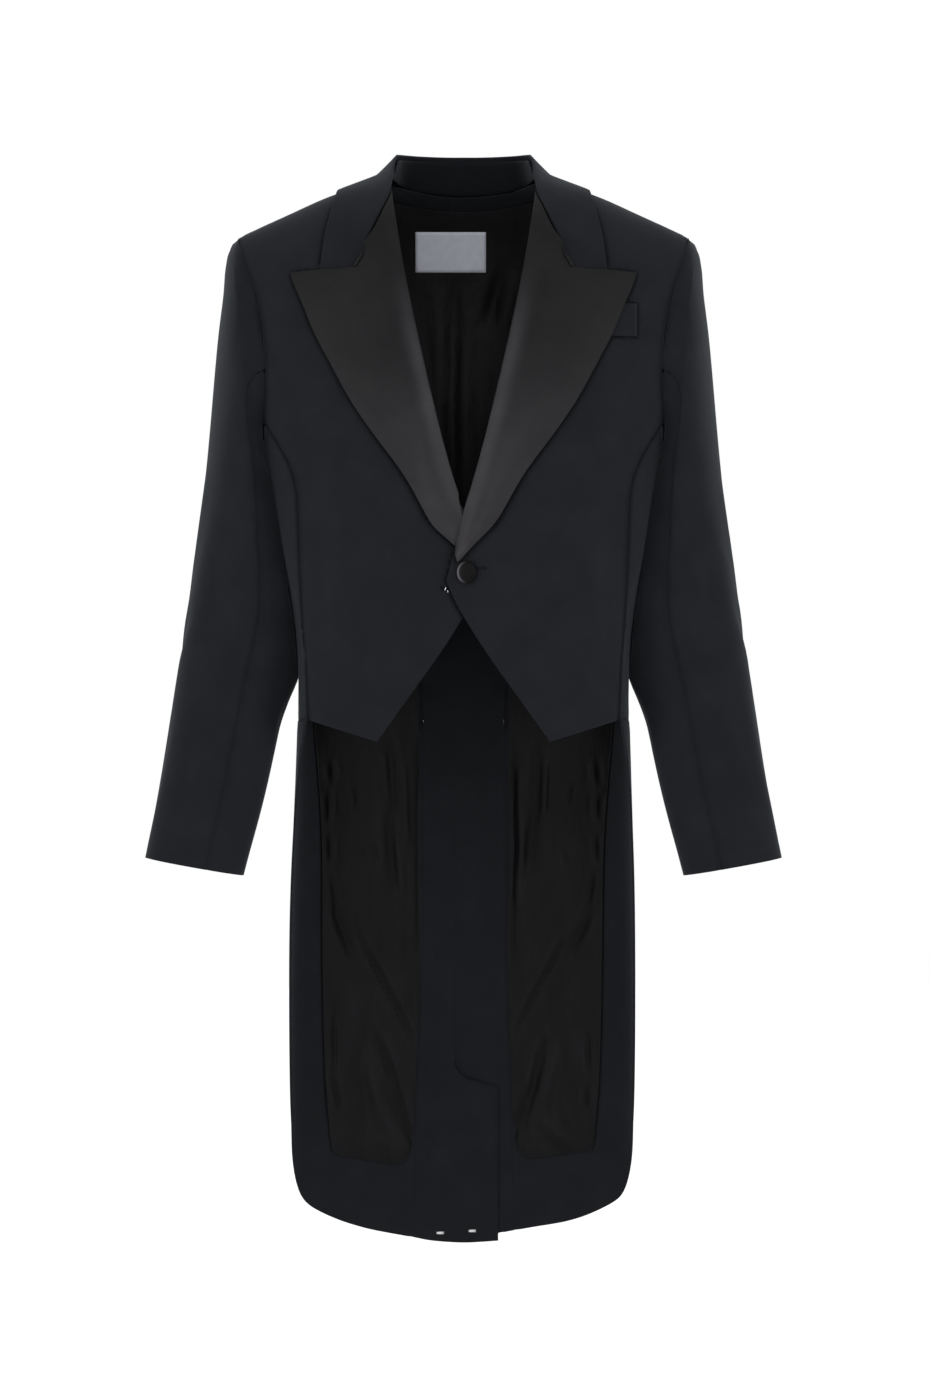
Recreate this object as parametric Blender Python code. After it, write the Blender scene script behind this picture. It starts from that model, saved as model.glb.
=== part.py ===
"""Evening tail coat with satin peak lapels, filled out with no wearer, each cut piece a wall of cloth."""

from collections import namedtuple
from math import asin, cos, degrees, exp, hypot, pi, radians, sin

import bmesh
import bpy
from mathutils import Vector

# The tables and functions work in millimetres, and each mesh is written in metres.
# +Z is up, the front faces -Y and +X is the wearer's left.
# The origin is the middle of the neck, level with the back neck seam.
MM = 0.001

# Cloth thicknesses
WOOL = 2.0
LAPEL = 2.4
WELT = 1.2
LINING = 1.0
LABEL = 0.8

# Clearances
SEAM = 0.5
SHOULDER_SEAM = 2.0
CURVED_SEAM = 0.8
ARMHOLE_GAP = 1.7
UNDERARM_GAP = 3.2
LINING_CLEARANCE = 1.8
LABEL_CLEARANCE = 0.7
LAPEL_LIFT = 2.2
LAPEL_LIFT_END = 0.2
LAPEL_TOP_POWER = 5
LAPEL_ROLL = 2.5
LAPEL_REST = 0.9
LAPEL_OVERLAP_GAP = 3.0
RIGHT_LAPEL_END = 0.905
LAPEL_COLUMNS = 10
LAPEL_ROWS = 16
STAND_LIFT = 1.3
COLLAR_LIFT = 4.0

# Sections of the body: half width, depths to the front and the back of the middle plane
Section = namedtuple("Section", "z half_width front back middle power")
BODY = [
    Section(-1100, 178, 95, 50, 62, 2.1),
    Section(-1000, 178, 95, 56, 62, 2.1),
    Section(-860, 179, 100, 69, 55, 2.1),
    Section(-740, 178, 104, 84, 38, 2.2),
    Section(-640, 175, 108, 97, 18, 2.3),
    Section(-547, 172, 111, 100, 2, 2.5),
    Section(-500, 170, 112, 98, 0, 2.5),
    Section(-470, 170.5, 114, 98, 0, 2.5),
    Section(-428, 175, 118, 102, 0, 2.5),
    Section(-374, 187, 122, 108, 0, 2.5),
    Section(-310, 197, 126, 114, 0, 2.5),
    Section(-268, 203.6, 128, 118, 0, 2.5),
    Section(-235, 212, 129, 119, 0, 2.5),
    Section(-200, 222, 128, 119, 0, 2.5),
    Section(-160, 230, 124, 117, 0, 2.5),
    Section(-120, 238, 118, 112, 0, 2.5),
    Section(-60, 250, 108, 104, 0, 2.5),
    Section(40, 264, 102, 99, 0, 2.5),
]

# Shoulder line seen from the front, and how the body rounds down from it
Height = namedtuple("Height", "x z")
SHOULDER = [Height(0, 17), Height(76, 17), Height(128, 4), Height(180, -18.5), Height(231, -41.5)]
SHOULDER_DROP = 150
SHOULDER_POWER = 2.6
ROW_CROWDING = 1.8
SHOULDER_ROWS = 10
SIDE_ROWS = 16
TAIL_ROWS = 12
TAIL_COLUMNS = 11
WAIST_ROWS = 3
TAIL_LINING_ROWS = 11
TAIL_LINING_COLUMNS = 6
NUDGE = 0.002
TURN_STEP = 0.5
HEIGHT_STEP = 1
HALVINGS = 24
END_POWER = 4
BACK_END_POWER = 6
CORE_DROP = 60
CORE_BEHIND = 300
NECK_X = 76
NECK_POWER = 2.5

# Edges and seams, as half widths at a height
Edge = namedtuple("Edge", "z x")
ARMHOLE_TOP = -41.5
ARMHOLE_BOTTOM = -268
ARMHOLE = [
    Edge(-268, 203.6), Edge(-258, 204.2), Edge(-240, 203), Edge(-214, 201.4), Edge(-190, 200.8),
    Edge(-165, 201.4), Edge(-142, 203.6), Edge(-121, 206.9), Edge(-102, 212.2), Edge(-80, 220),
    Edge(-62, 227), Edge(-41.5, 231),
]
FRONT_EDGE = [
    Edge(-560, 88), Edge(-548.3, 79.6), Edge(-443.7, 5.6), Edge(-429.7, -2), Edge(-421.6, -7.5),
    Edge(-407.6, -14), Edge(-398.5, -17.2), Edge(-386.5, -14.5), Edge(-368.4, -9), Edge(-357, -6.5),
    Edge(-331.2, 1), Edge(-280, 21.5), Edge(-224.3, 40.5), Edge(-150, 55.5), Edge(-87.2, 64.6),
    Edge(-40, 70.5), Edge(-3.7, 74), Edge(17, 76),
]
FRONT_POINT = Edge(-560, 88)
FRONT_HEM_SIDE = Edge(-538.5, 158)
SIDE_SEAM_TOP = -236
SIDE_SEAM = [
    Edge(-538.5, 158), Edge(-487, 160.5), Edge(-445, 163.7), Edge(-374, 166.5), Edge(-312, 168.5),
    Edge(-284, 174.5), Edge(-260, 187), Edge(-236, 202.7),
]
BACK_SEAM_TOP = -190
BACK_SEAM = [
    Edge(-1095, 52), Edge(-1000, 51), Edge(-864, 44.5), Edge(-700, 42), Edge(-535, 42), Edge(-460, 49),
    Edge(-380, 74), Edge(-300, 115), Edge(-250, 148), Edge(-215, 177), Edge(-190, 200.8),
]
WAIST = -540
WAIST_BLEND = 0.25
CENTRE_SEAM = -10

BACK_NECK = 5

# Front edge of a tail, as a turn round the body from the centre front
Turn = namedtuple("Turn", "z angle")
TAIL_EDGE = [
    Turn(-1030, 114.5), Turn(-1007, 107), Turn(-987, 99), Turn(-950, 93), Turn(-860, 91),
    Turn(-700, 88), Turn(-610, 80), Turn(-540, 67),
]
TAIL_CORNER = -1030

# Hem of the tails at distances from the centre, the wearer's right tail a little longer
Hem = namedtuple("Hem", "x left right")
HEM = [
    Hem(0, -1082, -1089.5), Hem(36.5, -1079.6, -1087), Hem(51, -1076.8, -1084), Hem(80.5, -1069.6, -1076.5),
    Hem(105, -1063.5, -1068.5), Hem(154, -1040, -1044.5), Hem(166, -1027, -1029),
]

# Vent in the centre back, the wearer's right tail passing inside the left
VENT_TOP = -912
VENT_EASE_TOP = -800
VENT_EASE_HEIGHT = 60
VENT_EASE_WIDTH = 30
VENT_EASE_EDGE = 6
VENT_UNDERLAP = 36.5
VENT_CLEARANCE = 1.2
VENT_SLOPE = 14
VENT_ROWS = (8, 1, 4)

# Rows of the long panels, counted between the seams that meet their edges
FRONT_STAGES = ((SHOULDER_ROWS, SIDE_SEAM_TOP), (SIDE_ROWS, None))
BACK_STAGES = (
    (SHOULDER_ROWS, BACK_SEAM_TOP),
    (SIDE_ROWS, WAIST),
    (VENT_ROWS[0], VENT_TOP),
    (VENT_ROWS[1], VENT_TOP - VENT_SLOPE),
    (VENT_ROWS[2], None),
)

# Largest folds of the tails: a ridge, or a trough where its depth is negative, runs from end to end
Fold = namedtuple("Fold", "x_top z_top x_bottom z_bottom reach depth")
FOLD_END_SHARE = 0.45
FOLD_END_REACH = 0.5
DRAPE_START = 40
TAIL_FOLDS = [
    Fold(98, -560, 118, -700, 13, 3.0),
    Fold(70, -575, 78, -690, 10, -2.4),
    Fold(112, -745, 60, -880, 12, 3.2),
    Fold(136, -800, 128, -960, 11, -2.6),
    Fold(92, -860, 66, -1000, 12, -3.4),
    Fold(108, -900, 96, -1040, 11, 3.0),
]

# Rings of a sleeve from the armhole to the cuff, each through its outer and inner point
Ring = namedtuple("Ring", "outer_x outer_z inner_x inner_z half_depth middle_y")
SLEEVE = [
    Ring(238, -60, 206.2, -274, 80, 2),
    Ring(243.5, -82, 205.8, -282, 83, 5),
    Ring(249, -108, 203.5, -295, 84, 10),
    Ring(254.5, -150, 195, -318, 84, 14),
    Ring(259.5, -205, 187, -350, 82, 18),
    Ring(265.5, -270, 177, -388, 78, 19),
    Ring(272.5, -335, 167, -430, 70, 17),
    Ring(281, -395, 166, -470, 61, 13),
    Ring(288.5, -443, 176, -498, 54, 9),
    Ring(296, -490, 184.6, -528, 49, 7),
    Ring(302.5, -536, 191.6, -560, 45, -2),
    Ring(309, -580, 199.5, -600, 42, -11),
    Ring(316.5, -622, 209.2, -640, 39, -20),
    Ring(322, -655, 217.5, -670, 37, -27),
    Ring(326.5, -679, 224.5, -697.5, 36, -31),
]
RING_POWER = 2.2
FRONT_SLEEVE_SEAM = 103
BACK_SLEEVE_SEAM = 252
SLEEVE_GAP = 0.7
SLEEVE_GAP_TOP = 1.5
SLEEVE_GAP_END = 0.625
SLEEVE_REST = 2.4
SLEEVE_FREE = 6
SLEEVE_FREE_END = 0.2
SLEEVE_ROWS = 17

# Lapel of the wearer's left, as seen from the front: its roll line, outer edge and gorge
Point = namedtuple("Point", "x z")
ROLL = [
    Point(73.8, -3.7), Point(70.5, -40), Point(64.6, -87.2), Point(55.5, -150), Point(40.5, -224.3),
    Point(21.5, -280), Point(1, -331.2), Point(-6.5, -357), Point(-9, -371),
]
LAPEL_EDGE = [
    Point(173.2, -87), Point(170, -98), Point(160, -121), Point(150, -147), Point(133.5, -178),
    Point(115, -213), Point(93, -246), Point(58, -294), Point(35.5, -337), Point(13, -359),
    Point(-5.5, -379.5),
]
LAPEL_TOP = [
    Point(73.8, -3.7), Point(84.9, -31.1), Point(97.9, -58.5), Point(107, -82.6), Point(138, -85),
    Point(173.2, -87),
]

# Collar of the wearer's left: its inner line from the gorge over the fold, and its outer edge.
# A drop is a height below the shoulder line, negative down the front and positive down the back.
Collar = namedtuple("Collar", "inner_x inner_y inner_z edge_x edge_drop")
COLLAR = [
    Collar(108.4, -96, -79.6, 144.5, -75),
    Collar(98.9, -92, -57.7, 140.5, -52),
    Collar(85.9, -84, -30.2, 133, -24),
    Collar(74.6, -66, -1.5, 127.5, -6),
    Collar(73, -32, 22, 122, 5),
    Collar(70.5, -4, 39, 113, 13),
    Collar(66, 20, 42.5, 98, 21),
    Collar(52, 39, 43, 74, 27),
    Collar(28, 50, 42.5, 40, 30),
    Collar(0, 54, 42, 0, 31),
]
# Foot of the collar's stand on the neck seam, from the front of the neck to the centre back
Foot = namedtuple("Foot", "x drop")
STAND_FOOT = [
    Foot(74.6, -17), Foot(75.4, -7), Foot(76, -0.5), Foot(66, 3.4), Foot(50, 7.4), Foot(28, 10.6),
    Foot(0, 12),
]
STAND_FIRST = 3
STAND_START = 0.11
FOLD_DEPTH = 6
FALL_SWELL = 2.5

# Breast pocket welt, seen from the front
WELT_INNER = 128
WELT_OUTER = 174.5
WELT_TOP = -117.5
WELT_BOTTOM = -150.5

# Button, on the wearer's left front where it comes through its hole
BUTTON_X = 3.8
BUTTON_Z = -389.5
BUTTON_RADIUS = 11.2
BUTTON_HEIGHT = 5.0
BUTTON_RIM = 1.6

# Small metal hook beside the front edge, on the wearer's right front
HOOK_X = -21.5
HOOK_Z = -406
HOOK_LENGTH = 6.0
HOOK_WIDTH = 2.2
HOOK_HEIGHT = 1.0
HOOK_ROUND = 0.25
HOOK_LEAN = Vector((0.55, 0, -1))

# Right front where it passes under the left
UNDERLAP_DEPTH = 3.4
UNDERLAP_START = -48
UNDERLAP_END = -24

# Linings where they show, and the label
BACK_LINING_DROP = 11
BACK_LINING_BOTTOM = -400
BACK_LINING_HALF = 138
TAIL_LINING_TOP = -425
TAIL_LINING_EDGE = 0.015
TAIL_LINING_END = 0.865
LABEL_X = -13.5
LABEL_Z = -47
LABEL_HALF_WIDTH = 37
LABEL_HALF_HEIGHT = 21

COLOURS = {
    "wool": ((0.016, 0.017, 0.020), 0.85, 0.0),
    "satin": ((0.040, 0.041, 0.047), 0.35, 0.0),
    "lining": ((0.010, 0.010, 0.012), 0.45, 0.0),
    "label": ((0.26, 0.26, 0.31), 0.6, 0.0),
    "metal": ((0.75, 0.75, 0.77), 0.3, 1.0),
}


def mix(first, second, share):
    return first + (second - first) * share


def ease(share):
    share = min(1.0, max(0.0, share))
    return share * share * (3 - 2 * share)


def smooth(rows, column, at, across=0):
    """Value of a column where the key column has the value at, on a soft curve through the rows."""
    keys = [row[across] for row in rows]
    values = [getattr(row, column) for row in rows]
    if keys[0] > keys[-1]:
        keys.reverse()
        values.reverse()
    if at <= keys[0]:
        return values[0]
    if at >= keys[-1]:
        return values[-1]
    slopes = [(b - a) / (y - x) for a, b, x, y in zip(values, values[1:], keys, keys[1:])]
    tangents = [slopes[0]]
    for before, after in zip(slopes, slopes[1:]):
        same_way = before * after > 0
        tangents.append(2 * before * after / (before + after) if same_way else 0.0)
    tangents.append(slopes[-1])
    step = max(number for number, key in enumerate(keys[:-1]) if key <= at)
    span = keys[step + 1] - keys[step]
    t = (at - keys[step]) / span
    start = values[step] * (1 + 2 * t) * (1 - t) ** 2 + values[step + 1] * (3 - 2 * t) * t * t
    return start + span * (tangents[step] * t * (1 - t) ** 2 - tangents[step + 1] * (1 - t) * t * t)


def along(points, share):
    """Point a share of the way along a list of vectors, on a soft curve through them."""
    place = min(max(share, 0.0), 1.0) * (len(points) - 1)
    step = min(int(place), len(points) - 2)
    t = place - step
    start, end = points[step], points[step + 1]
    before = points[step - 1] if step else start * 2 - end
    after = points[step + 2] if step + 2 < len(points) else end * 2 - start
    bend = (end - before) * (t * (1 - t) ** 2 / 2) - (after - start) * ((1 - t) * t * t / 2)
    return start * ((1 + 2 * t) * (1 - t) ** 2) + end * ((3 - 2 * t) * t * t) + bend


def shoulder(x):
    return smooth(SHOULDER, "z", abs(x))


def turn_at(x, z, back=False):
    """Turn round the body, in degrees from the centre front, at which it has this x at a height."""
    half_width = smooth(BODY, "half_width", z)
    power = smooth(BODY, "power", z)
    share = min(1.0, abs(x) / half_width) ** (power / 2)
    angle = degrees(asin(share))
    if back:
        angle = 180 - angle
    return angle if x >= 0 else -angle


def tail_drape(x, z):
    """Distance that the folds move a tail out, down to nothing at the waist."""
    total = 0.0
    for fold in TAIL_FOLDS:
        t = min(1.0, max(0.0, (z - fold.z_top) / (fold.z_bottom - fold.z_top)))
        middle = mix(fold.x_top, fold.x_bottom, t)
        past = max(0.0, z - fold.z_top, fold.z_bottom - z)
        away = hypot(abs(x) - middle, past * FOLD_END_REACH)
        swell = mix(FOLD_END_SHARE, 1, sin(pi * t))
        total += fold.depth * swell * exp(-((away / fold.reach) ** 2))
    return total * ease((WAIST - z) / DRAPE_START)


def body(angle, z):
    """Point on the outside of the coat at a turn from the centre front and a height."""
    half_width = smooth(BODY, "half_width", z)
    power = 2 / smooth(BODY, "power", z)
    across = sin(radians(angle))
    forward = cos(radians(angle))
    x = half_width * abs(across) ** power * (1 if across >= 0 else -1)
    below = min(1.0, max(0.0, (shoulder(x) - z) / SHOULDER_DROP))
    rounding = (1 - (1 - below) ** SHOULDER_POWER) ** (1 / SHOULDER_POWER)
    depth = smooth(BODY, "front" if forward >= 0 else "back", z) * abs(forward) ** power * rounding
    depth += SHOULDER_SEAM / 2 * (1 - rounding)
    if forward < 0:
        depth += tail_drape(x, z)
    return Vector((x, smooth(BODY, "middle", z) + (-depth if forward >= 0 else depth), z))


def normal(angle, z):
    across = body(angle + TURN_STEP, z) - body(angle - TURN_STEP, z)
    down = body(angle, z - HEIGHT_STEP) - body(angle, z + HEIGHT_STEP)
    return down.cross(across).normalized()


def raised(angle, z, lift):
    return body(angle, z) + normal(angle, z) * lift


def on_front(x, z, lift):
    return raised(turn_at(x, z), z, lift)


def clear_of_body(point, lift):
    """The point, moved out where it is less than the lift away from the outside of the coat."""
    side = 1 if point.x >= 0 else -1
    z = min(point.z, shoulder(point.x))
    angle = side * turn_at(abs(point.x), z, back=point.y > 0)
    out = normal(angle, z)
    short = lift - (point - body(angle, z)).dot(out)
    return point + out * max(0.0, short)


def crowded(v):
    """Share of the way down for a row, the rows closest together at the shoulder."""
    return v ** ROW_CROWDING


def row_height(v, top_z, bottom_z, stages):
    """Height of a row in a panel whose rows are shared out between the seams that end on its edge."""
    row = v * sum(rows for rows, _ in stages)
    start = top_z
    for number, (rows, stop) in enumerate(stages):
        end = bottom_z if stop is None else stop
        if row <= rows or stop is None:
            share = min(1.0, row / rows)
            return mix(start, end, share if number else crowded(share))
        row -= rows
        start = end
    return bottom_z


def panel(u, v, inner, outer, top, bottom, stages=None):
    """Turn and height inside four edges: inner and outer by height, top and bottom by u."""
    top_turn, top_z = top(u)
    bottom_turn, bottom_z = bottom(u)
    z = row_height(v, top_z, bottom_z, stages) if stages else mix(top_z, bottom_z, v)
    turn = mix(inner(z), outer(z), u)
    turn += (top_turn - mix(inner(top_z), outer(top_z), u)) * (1 - v) ** END_POWER
    turn += (bottom_turn - mix(inner(bottom_z), outer(bottom_z), u)) * v ** END_POWER
    return turn, z


def material(finish):
    found = bpy.data.materials.get(finish)
    if found:
        return found
    colour, roughness, metallic = COLOURS[finish]
    made = bpy.data.materials.new(finish)
    made.use_nodes = True
    shader = made.node_tree.nodes["Principled BSDF"]
    shader.inputs["Base Color"].default_value = (*colour, 1)
    shader.inputs["Roughness"].default_value = roughness
    shader.inputs["Metallic"].default_value = metallic
    made.diffuse_color = (*colour, 1)
    return made


def add_piece(name, shape, finish):
    mesh = bpy.data.meshes.new(name)
    shape.to_mesh(mesh)
    shape.free()
    mesh.materials.append(material(finish))
    mesh.shade_smooth()
    piece = bpy.data.objects.new(name, mesh)
    bpy.context.scene.collection.objects.link(piece)
    return piece


def outward(place, u, v):
    """Direction at right angles to a surface, worked out from the surface itself."""
    across = place(min(u + NUDGE, 1), v) - place(max(u - NUDGE, 0), v)
    down = place(u, min(v + NUDGE, 1)) - place(u, max(v - NUDGE, 0))
    return across.cross(down).normalized()


def out_side(place, core):
    """Sign that turns the outward direction of a surface away from its core."""
    middle = place(0.5, 0.5)
    return 1 if outward(place, 0.5, 0.5).dot(middle - core(middle)) > 0 else -1


def cloth(name, place, columns, rows, core, finish, thickness):
    """Wall of cloth whose outside is place(u, v), its thickness laid towards the core."""
    sheet = bmesh.new()
    bmesh.ops.create_grid(sheet, x_segments=columns, y_segments=rows, size=0.5)
    inside = bmesh.ops.extrude_face_region(sheet, geom=sheet.faces[:], use_keep_orig=True)
    corners = [item for item in inside["geom"] if isinstance(item, bmesh.types.BMVert)]
    bmesh.ops.translate(sheet, verts=corners, vec=(0, 0, -1))
    out = out_side(place, core)
    for corner in sheet.verts:
        u, v, deep = corner.co.x + 0.5, corner.co.y + 0.5, -corner.co.z
        point = place(u, v)
        if deep:
            point -= outward(place, u, v) * out * thickness
        corner.co = point * MM
    bmesh.ops.triangulate(sheet, faces=sheet.faces[:])
    bmesh.ops.recalc_face_normals(sheet, faces=sheet.faces[:])
    if sheet.calc_volume(signed=True) < 0:
        bmesh.ops.reverse_faces(sheet, faces=sheet.faces[:])
    return add_piece(name, sheet, finish)


def torso_core(point):
    return Vector((0, 0, point.z - CORE_DROP))


def behind_core(point):
    return Vector((0, -CORE_BEHIND, point.z))


def front_outline(side):
    """Edges of a front: its own front edge, its outer edge, the shoulder and the hem."""

    def inner(z):
        return turn_at(smooth(FRONT_EDGE, "x", z), z)

    def outer(z):
        rows = ARMHOLE if z > SIDE_SEAM_TOP else SIDE_SEAM
        return turn_at(smooth(rows, "x", z) - CURVED_SEAM / 2, z)

    def top(u):
        x = mix(NECK_X, ARMHOLE[-1].x - SEAM / 2, u)
        return turn_at(x, shoulder(x)), shoulder(x)

    def bottom(u):
        x = mix(FRONT_POINT.x, FRONT_HEM_SIDE.x - SEAM / 2, u)
        z = mix(FRONT_POINT.z, FRONT_HEM_SIDE.z, u)
        return turn_at(x, z), z

    def place(u, v):
        turn, z = panel(u, v, inner, outer, top, bottom, FRONT_STAGES)
        point = body(turn, z)
        if side < 0:
            point.x = -point.x
            under = ease((point.x - UNDERLAP_START) / (UNDERLAP_END - UNDERLAP_START))
            point.y += UNDERLAP_DEPTH * under
        return point

    return place


def add_fronts():
    for name, side in (("front_left", 1), ("front_right", -1)):
        cloth(name, front_outline(side), 10, SHOULDER_ROWS + SIDE_ROWS, torso_core, "wool", WOOL)


def armhole_turn(z):
    return turn_at(smooth(ARMHOLE, "x", z), z)


def armhole_height(turn):
    """Height of the armhole's lower curve at a turn, found by halving."""
    from_side = 90 - abs(90 - turn)
    low, high = ARMHOLE_BOTTOM, BACK_SEAM_TOP
    for _ in range(HALVINGS):
        middle = (low + high) / 2
        if armhole_turn(middle) > from_side:
            low = middle
        else:
            high = middle
    return (low + high) / 2


def add_sides():
    """Side bodies, from the front seam round to the curved back seam, above the waist."""
    front_turn = turn_at(SIDE_SEAM[-1].x, SIDE_SEAM_TOP)
    back_turn = turn_at(BACK_SEAM[-1].x, BACK_SEAM_TOP, back=True)

    def inner(z):
        height = min(z, SIDE_SEAM_TOP)
        return turn_at(smooth(SIDE_SEAM, "x", height) + CURVED_SEAM / 2, height)

    def outer(z):
        height = min(z, BACK_SEAM_TOP)
        return turn_at(smooth(BACK_SEAM, "x", height) + CURVED_SEAM / 2, height, back=True)

    def top(u):
        turn = mix(front_turn, back_turn, u)
        return turn, armhole_height(turn)

    def bottom(u):
        z = mix(FRONT_HEM_SIDE.z, WAIST, ease(u / WAIST_BLEND)) + SEAM / 2
        return mix(inner(WAIST), outer(WAIST), u), z

    for name, side in (("side_left", 1), ("side_right", -1)):

        def place(u, v, side=side):
            turn, z = panel(u, v, inner, outer, top, bottom)
            point = body(turn, z)
            point.x *= side
            return point

        cloth(name, place, 8, SIDE_ROWS, torso_core, "wool", WOOL)


def neck_height(x):
    """Height of the back's top edge: the neck seam, then the shoulder line."""
    if abs(x) > NECK_X:
        return shoulder(x)
    return mix(BACK_NECK, shoulder(NECK_X), (abs(x) / NECK_X) ** NECK_POWER)


def hem_height(x, side):
    return smooth(HEM, "left" if side > 0 else "right", abs(x))


def add_backs():
    """Backs from the neck to the hem, narrow below the waist, the right one lapping into the vent."""
    for name, side in (("back_left", 1), ("back_right", -1)):

        def outer(z):
            rows = ARMHOLE if z > BACK_SEAM_TOP else BACK_SEAM
            return smooth(rows, "x", z) - CURVED_SEAM / 2

        def inner(z, side=side):
            seam = side * CENTRE_SEAM + SEAM / 2
            if side > 0:
                return seam
            lap = ease((VENT_TOP - z) / VENT_SLOPE)
            return mix(seam, -VENT_UNDERLAP, lap)

        def place(u, v, side=side, inner=inner):
            top_x = mix(inner(0), ARMHOLE[-1].x - SEAM / 2, u)
            low_z = hem_height(mix(inner(HEM[0].left), BACK_SEAM[0].x, u), side)
            top_z = neck_height(top_x)
            z = row_height(v, top_z, low_z, BACK_STAGES)
            x = mix(inner(z), outer(z), u)
            x += (top_x - mix(inner(top_z), outer(top_z), u)) * (1 - v) ** BACK_END_POWER
            point = body(turn_at(x, z, back=True), z)
            if side < 0:
                lap = ease((VENT_EASE_TOP - z) / VENT_EASE_HEIGHT)
                lap *= ease((BACK_SEAM[0].x - VENT_EASE_EDGE - x) / VENT_EASE_WIDTH)
                point.y -= (WOOL + VENT_CLEARANCE) * lap
            point.x *= side
            return point

        cloth(name, place, 8, sum(rows for rows, _ in BACK_STAGES), torso_core, "wool", WOOL)


def tail_seam(z):
    return turn_at(smooth(BACK_SEAM, "x", z) + CURVED_SEAM / 2, z, back=True)


def tail_front(z):
    return smooth(TAIL_EDGE, "angle", z)


def tail_surface(side):
    """Outside of a tail, from the back seam to its open edge and from the waist to the hem."""

    def top(u):
        z = mix(FRONT_HEM_SIDE.z, WAIST, ease((1 - u) / WAIST_BLEND)) - SEAM / 2
        return mix(tail_seam(z), tail_front(z), u), z

    def bottom(u):
        x = mix(BACK_SEAM[0].x, abs(body(tail_front(TAIL_CORNER), TAIL_CORNER).x), u)
        z = hem_height(x, side)
        return turn_at(x, z, back=True), z

    def place(u, v):
        turn, z = panel(u, v, tail_seam, tail_front, top, bottom)
        point = body(turn, z)
        point.x *= side
        return point

    return place


def add_tails():
    """Skirts of the coat, and the linings that follow the same rows inside them."""
    depth = WOOL + LINING_CLEARANCE
    for word, side in (("left", 1), ("right", -1)):
        tail = tail_surface(side)
        cloth(f"tail_{word}", tail, TAIL_COLUMNS, TAIL_ROWS, behind_core, "wool", WOOL)
        out = out_side(tail, behind_core)

        def lining(u, v, side=side, tail=tail, out=out):
            row = v * (WAIST_ROWS + TAIL_LINING_ROWS)
            share = max(u * TAIL_LINING_COLUMNS / TAIL_COLUMNS, TAIL_LINING_EDGE)
            if row >= WAIST_ROWS:
                down = min((row - WAIST_ROWS) / TAIL_ROWS, TAIL_LINING_END)
                return tail(share, down) - outward(tail, share, down) * out * depth
            z = mix(TAIL_LINING_TOP, WAIST - SEAM / 2, row / WAIST_ROWS)
            point = raised(mix(tail_seam(WAIST), tail_front(WAIST), share), z, -depth)
            point.x *= side
            return point

        cloth(f"lining_tail_{word}", lining, TAIL_LINING_COLUMNS, WAIST_ROWS + TAIL_LINING_ROWS,
              behind_core, "lining", LINING)


def sleeve_ring(share, angle):
    """Point of the wearer's left sleeve, a share of the way down it and turned from its outer side."""
    across = cos(radians(angle))
    forward = sin(radians(angle))
    flat = 2 / RING_POWER
    span = mix(ARMHOLE_BOTTOM, ARMHOLE_TOP, (1 + across) / 2)
    turn = armhole_turn(span)
    start = body(turn if forward >= 0 else 180 - turn, span)
    start.x += mix(UNDERARM_GAP, ARMHOLE_GAP, (1 + across) / 2)
    rings = []
    for row in SLEEVE:
        reach = abs(across) ** flat * (1 if across >= 0 else -1)
        depth = abs(forward) ** flat * (1 if forward >= 0 else -1)
        x = mix(row.inner_x, row.outer_x, (1 + reach) / 2)
        z = mix(row.inner_z, row.outer_z, (1 + reach) / 2)
        rings.append(Vector((x, row.middle_y - row.half_depth * depth, z)))
    return along([start, *rings], share)


def sleeve_core(side):
    def core(point):
        outer = smooth(SLEEVE, "outer_x", point.z, across=1)
        inner = smooth(SLEEVE, "inner_x", point.z, across=3)
        return Vector((side * (outer + inner) / 2, 0, point.z))

    return core


def add_sleeves():
    """Top sleeve over the outer side and under sleeve against the body, for each arm."""
    pieces = (
        ("top", BACK_SLEEVE_SEAM - 360, FRONT_SLEEVE_SEAM, 12),
        ("under", FRONT_SLEEVE_SEAM, BACK_SLEEVE_SEAM, 10),
    )
    for word, side in (("left", 1), ("right", -1)):
        for part, start, end, columns in pieces:

            def place(u, v, start=start, end=end, side=side):
                gap = mix(SLEEVE_GAP_TOP, SLEEVE_GAP, ease(v / SLEEVE_GAP_END))
                point = sleeve_ring(v, mix(start + gap, end - gap, u))
                free = SLEEVE_FREE * (1 - ease(v / SLEEVE_FREE_END))
                point = clear_of_body(point, SLEEVE_REST - free)
                point.x *= side
                return point

            cloth(f"sleeve_{part}_{word}", place, columns, SLEEVE_ROWS, sleeve_core(side), "wool", WOOL)


def lapel_point(u, v):
    """Front view place on a lapel: u from the roll line out, v from the gorge to its lower tip."""
    roll = along([Vector(point) for point in ROLL], v)
    edge = along([Vector(point) for point in LAPEL_EDGE], v)
    top = along([Vector(point) for point in LAPEL_TOP], u)
    corner = mix(Vector(LAPEL_TOP[0]), Vector(LAPEL_TOP[-1]), u)
    return mix(roll, edge, u) + (top - corner) * (1 - v) ** LAPEL_TOP_POWER


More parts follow.
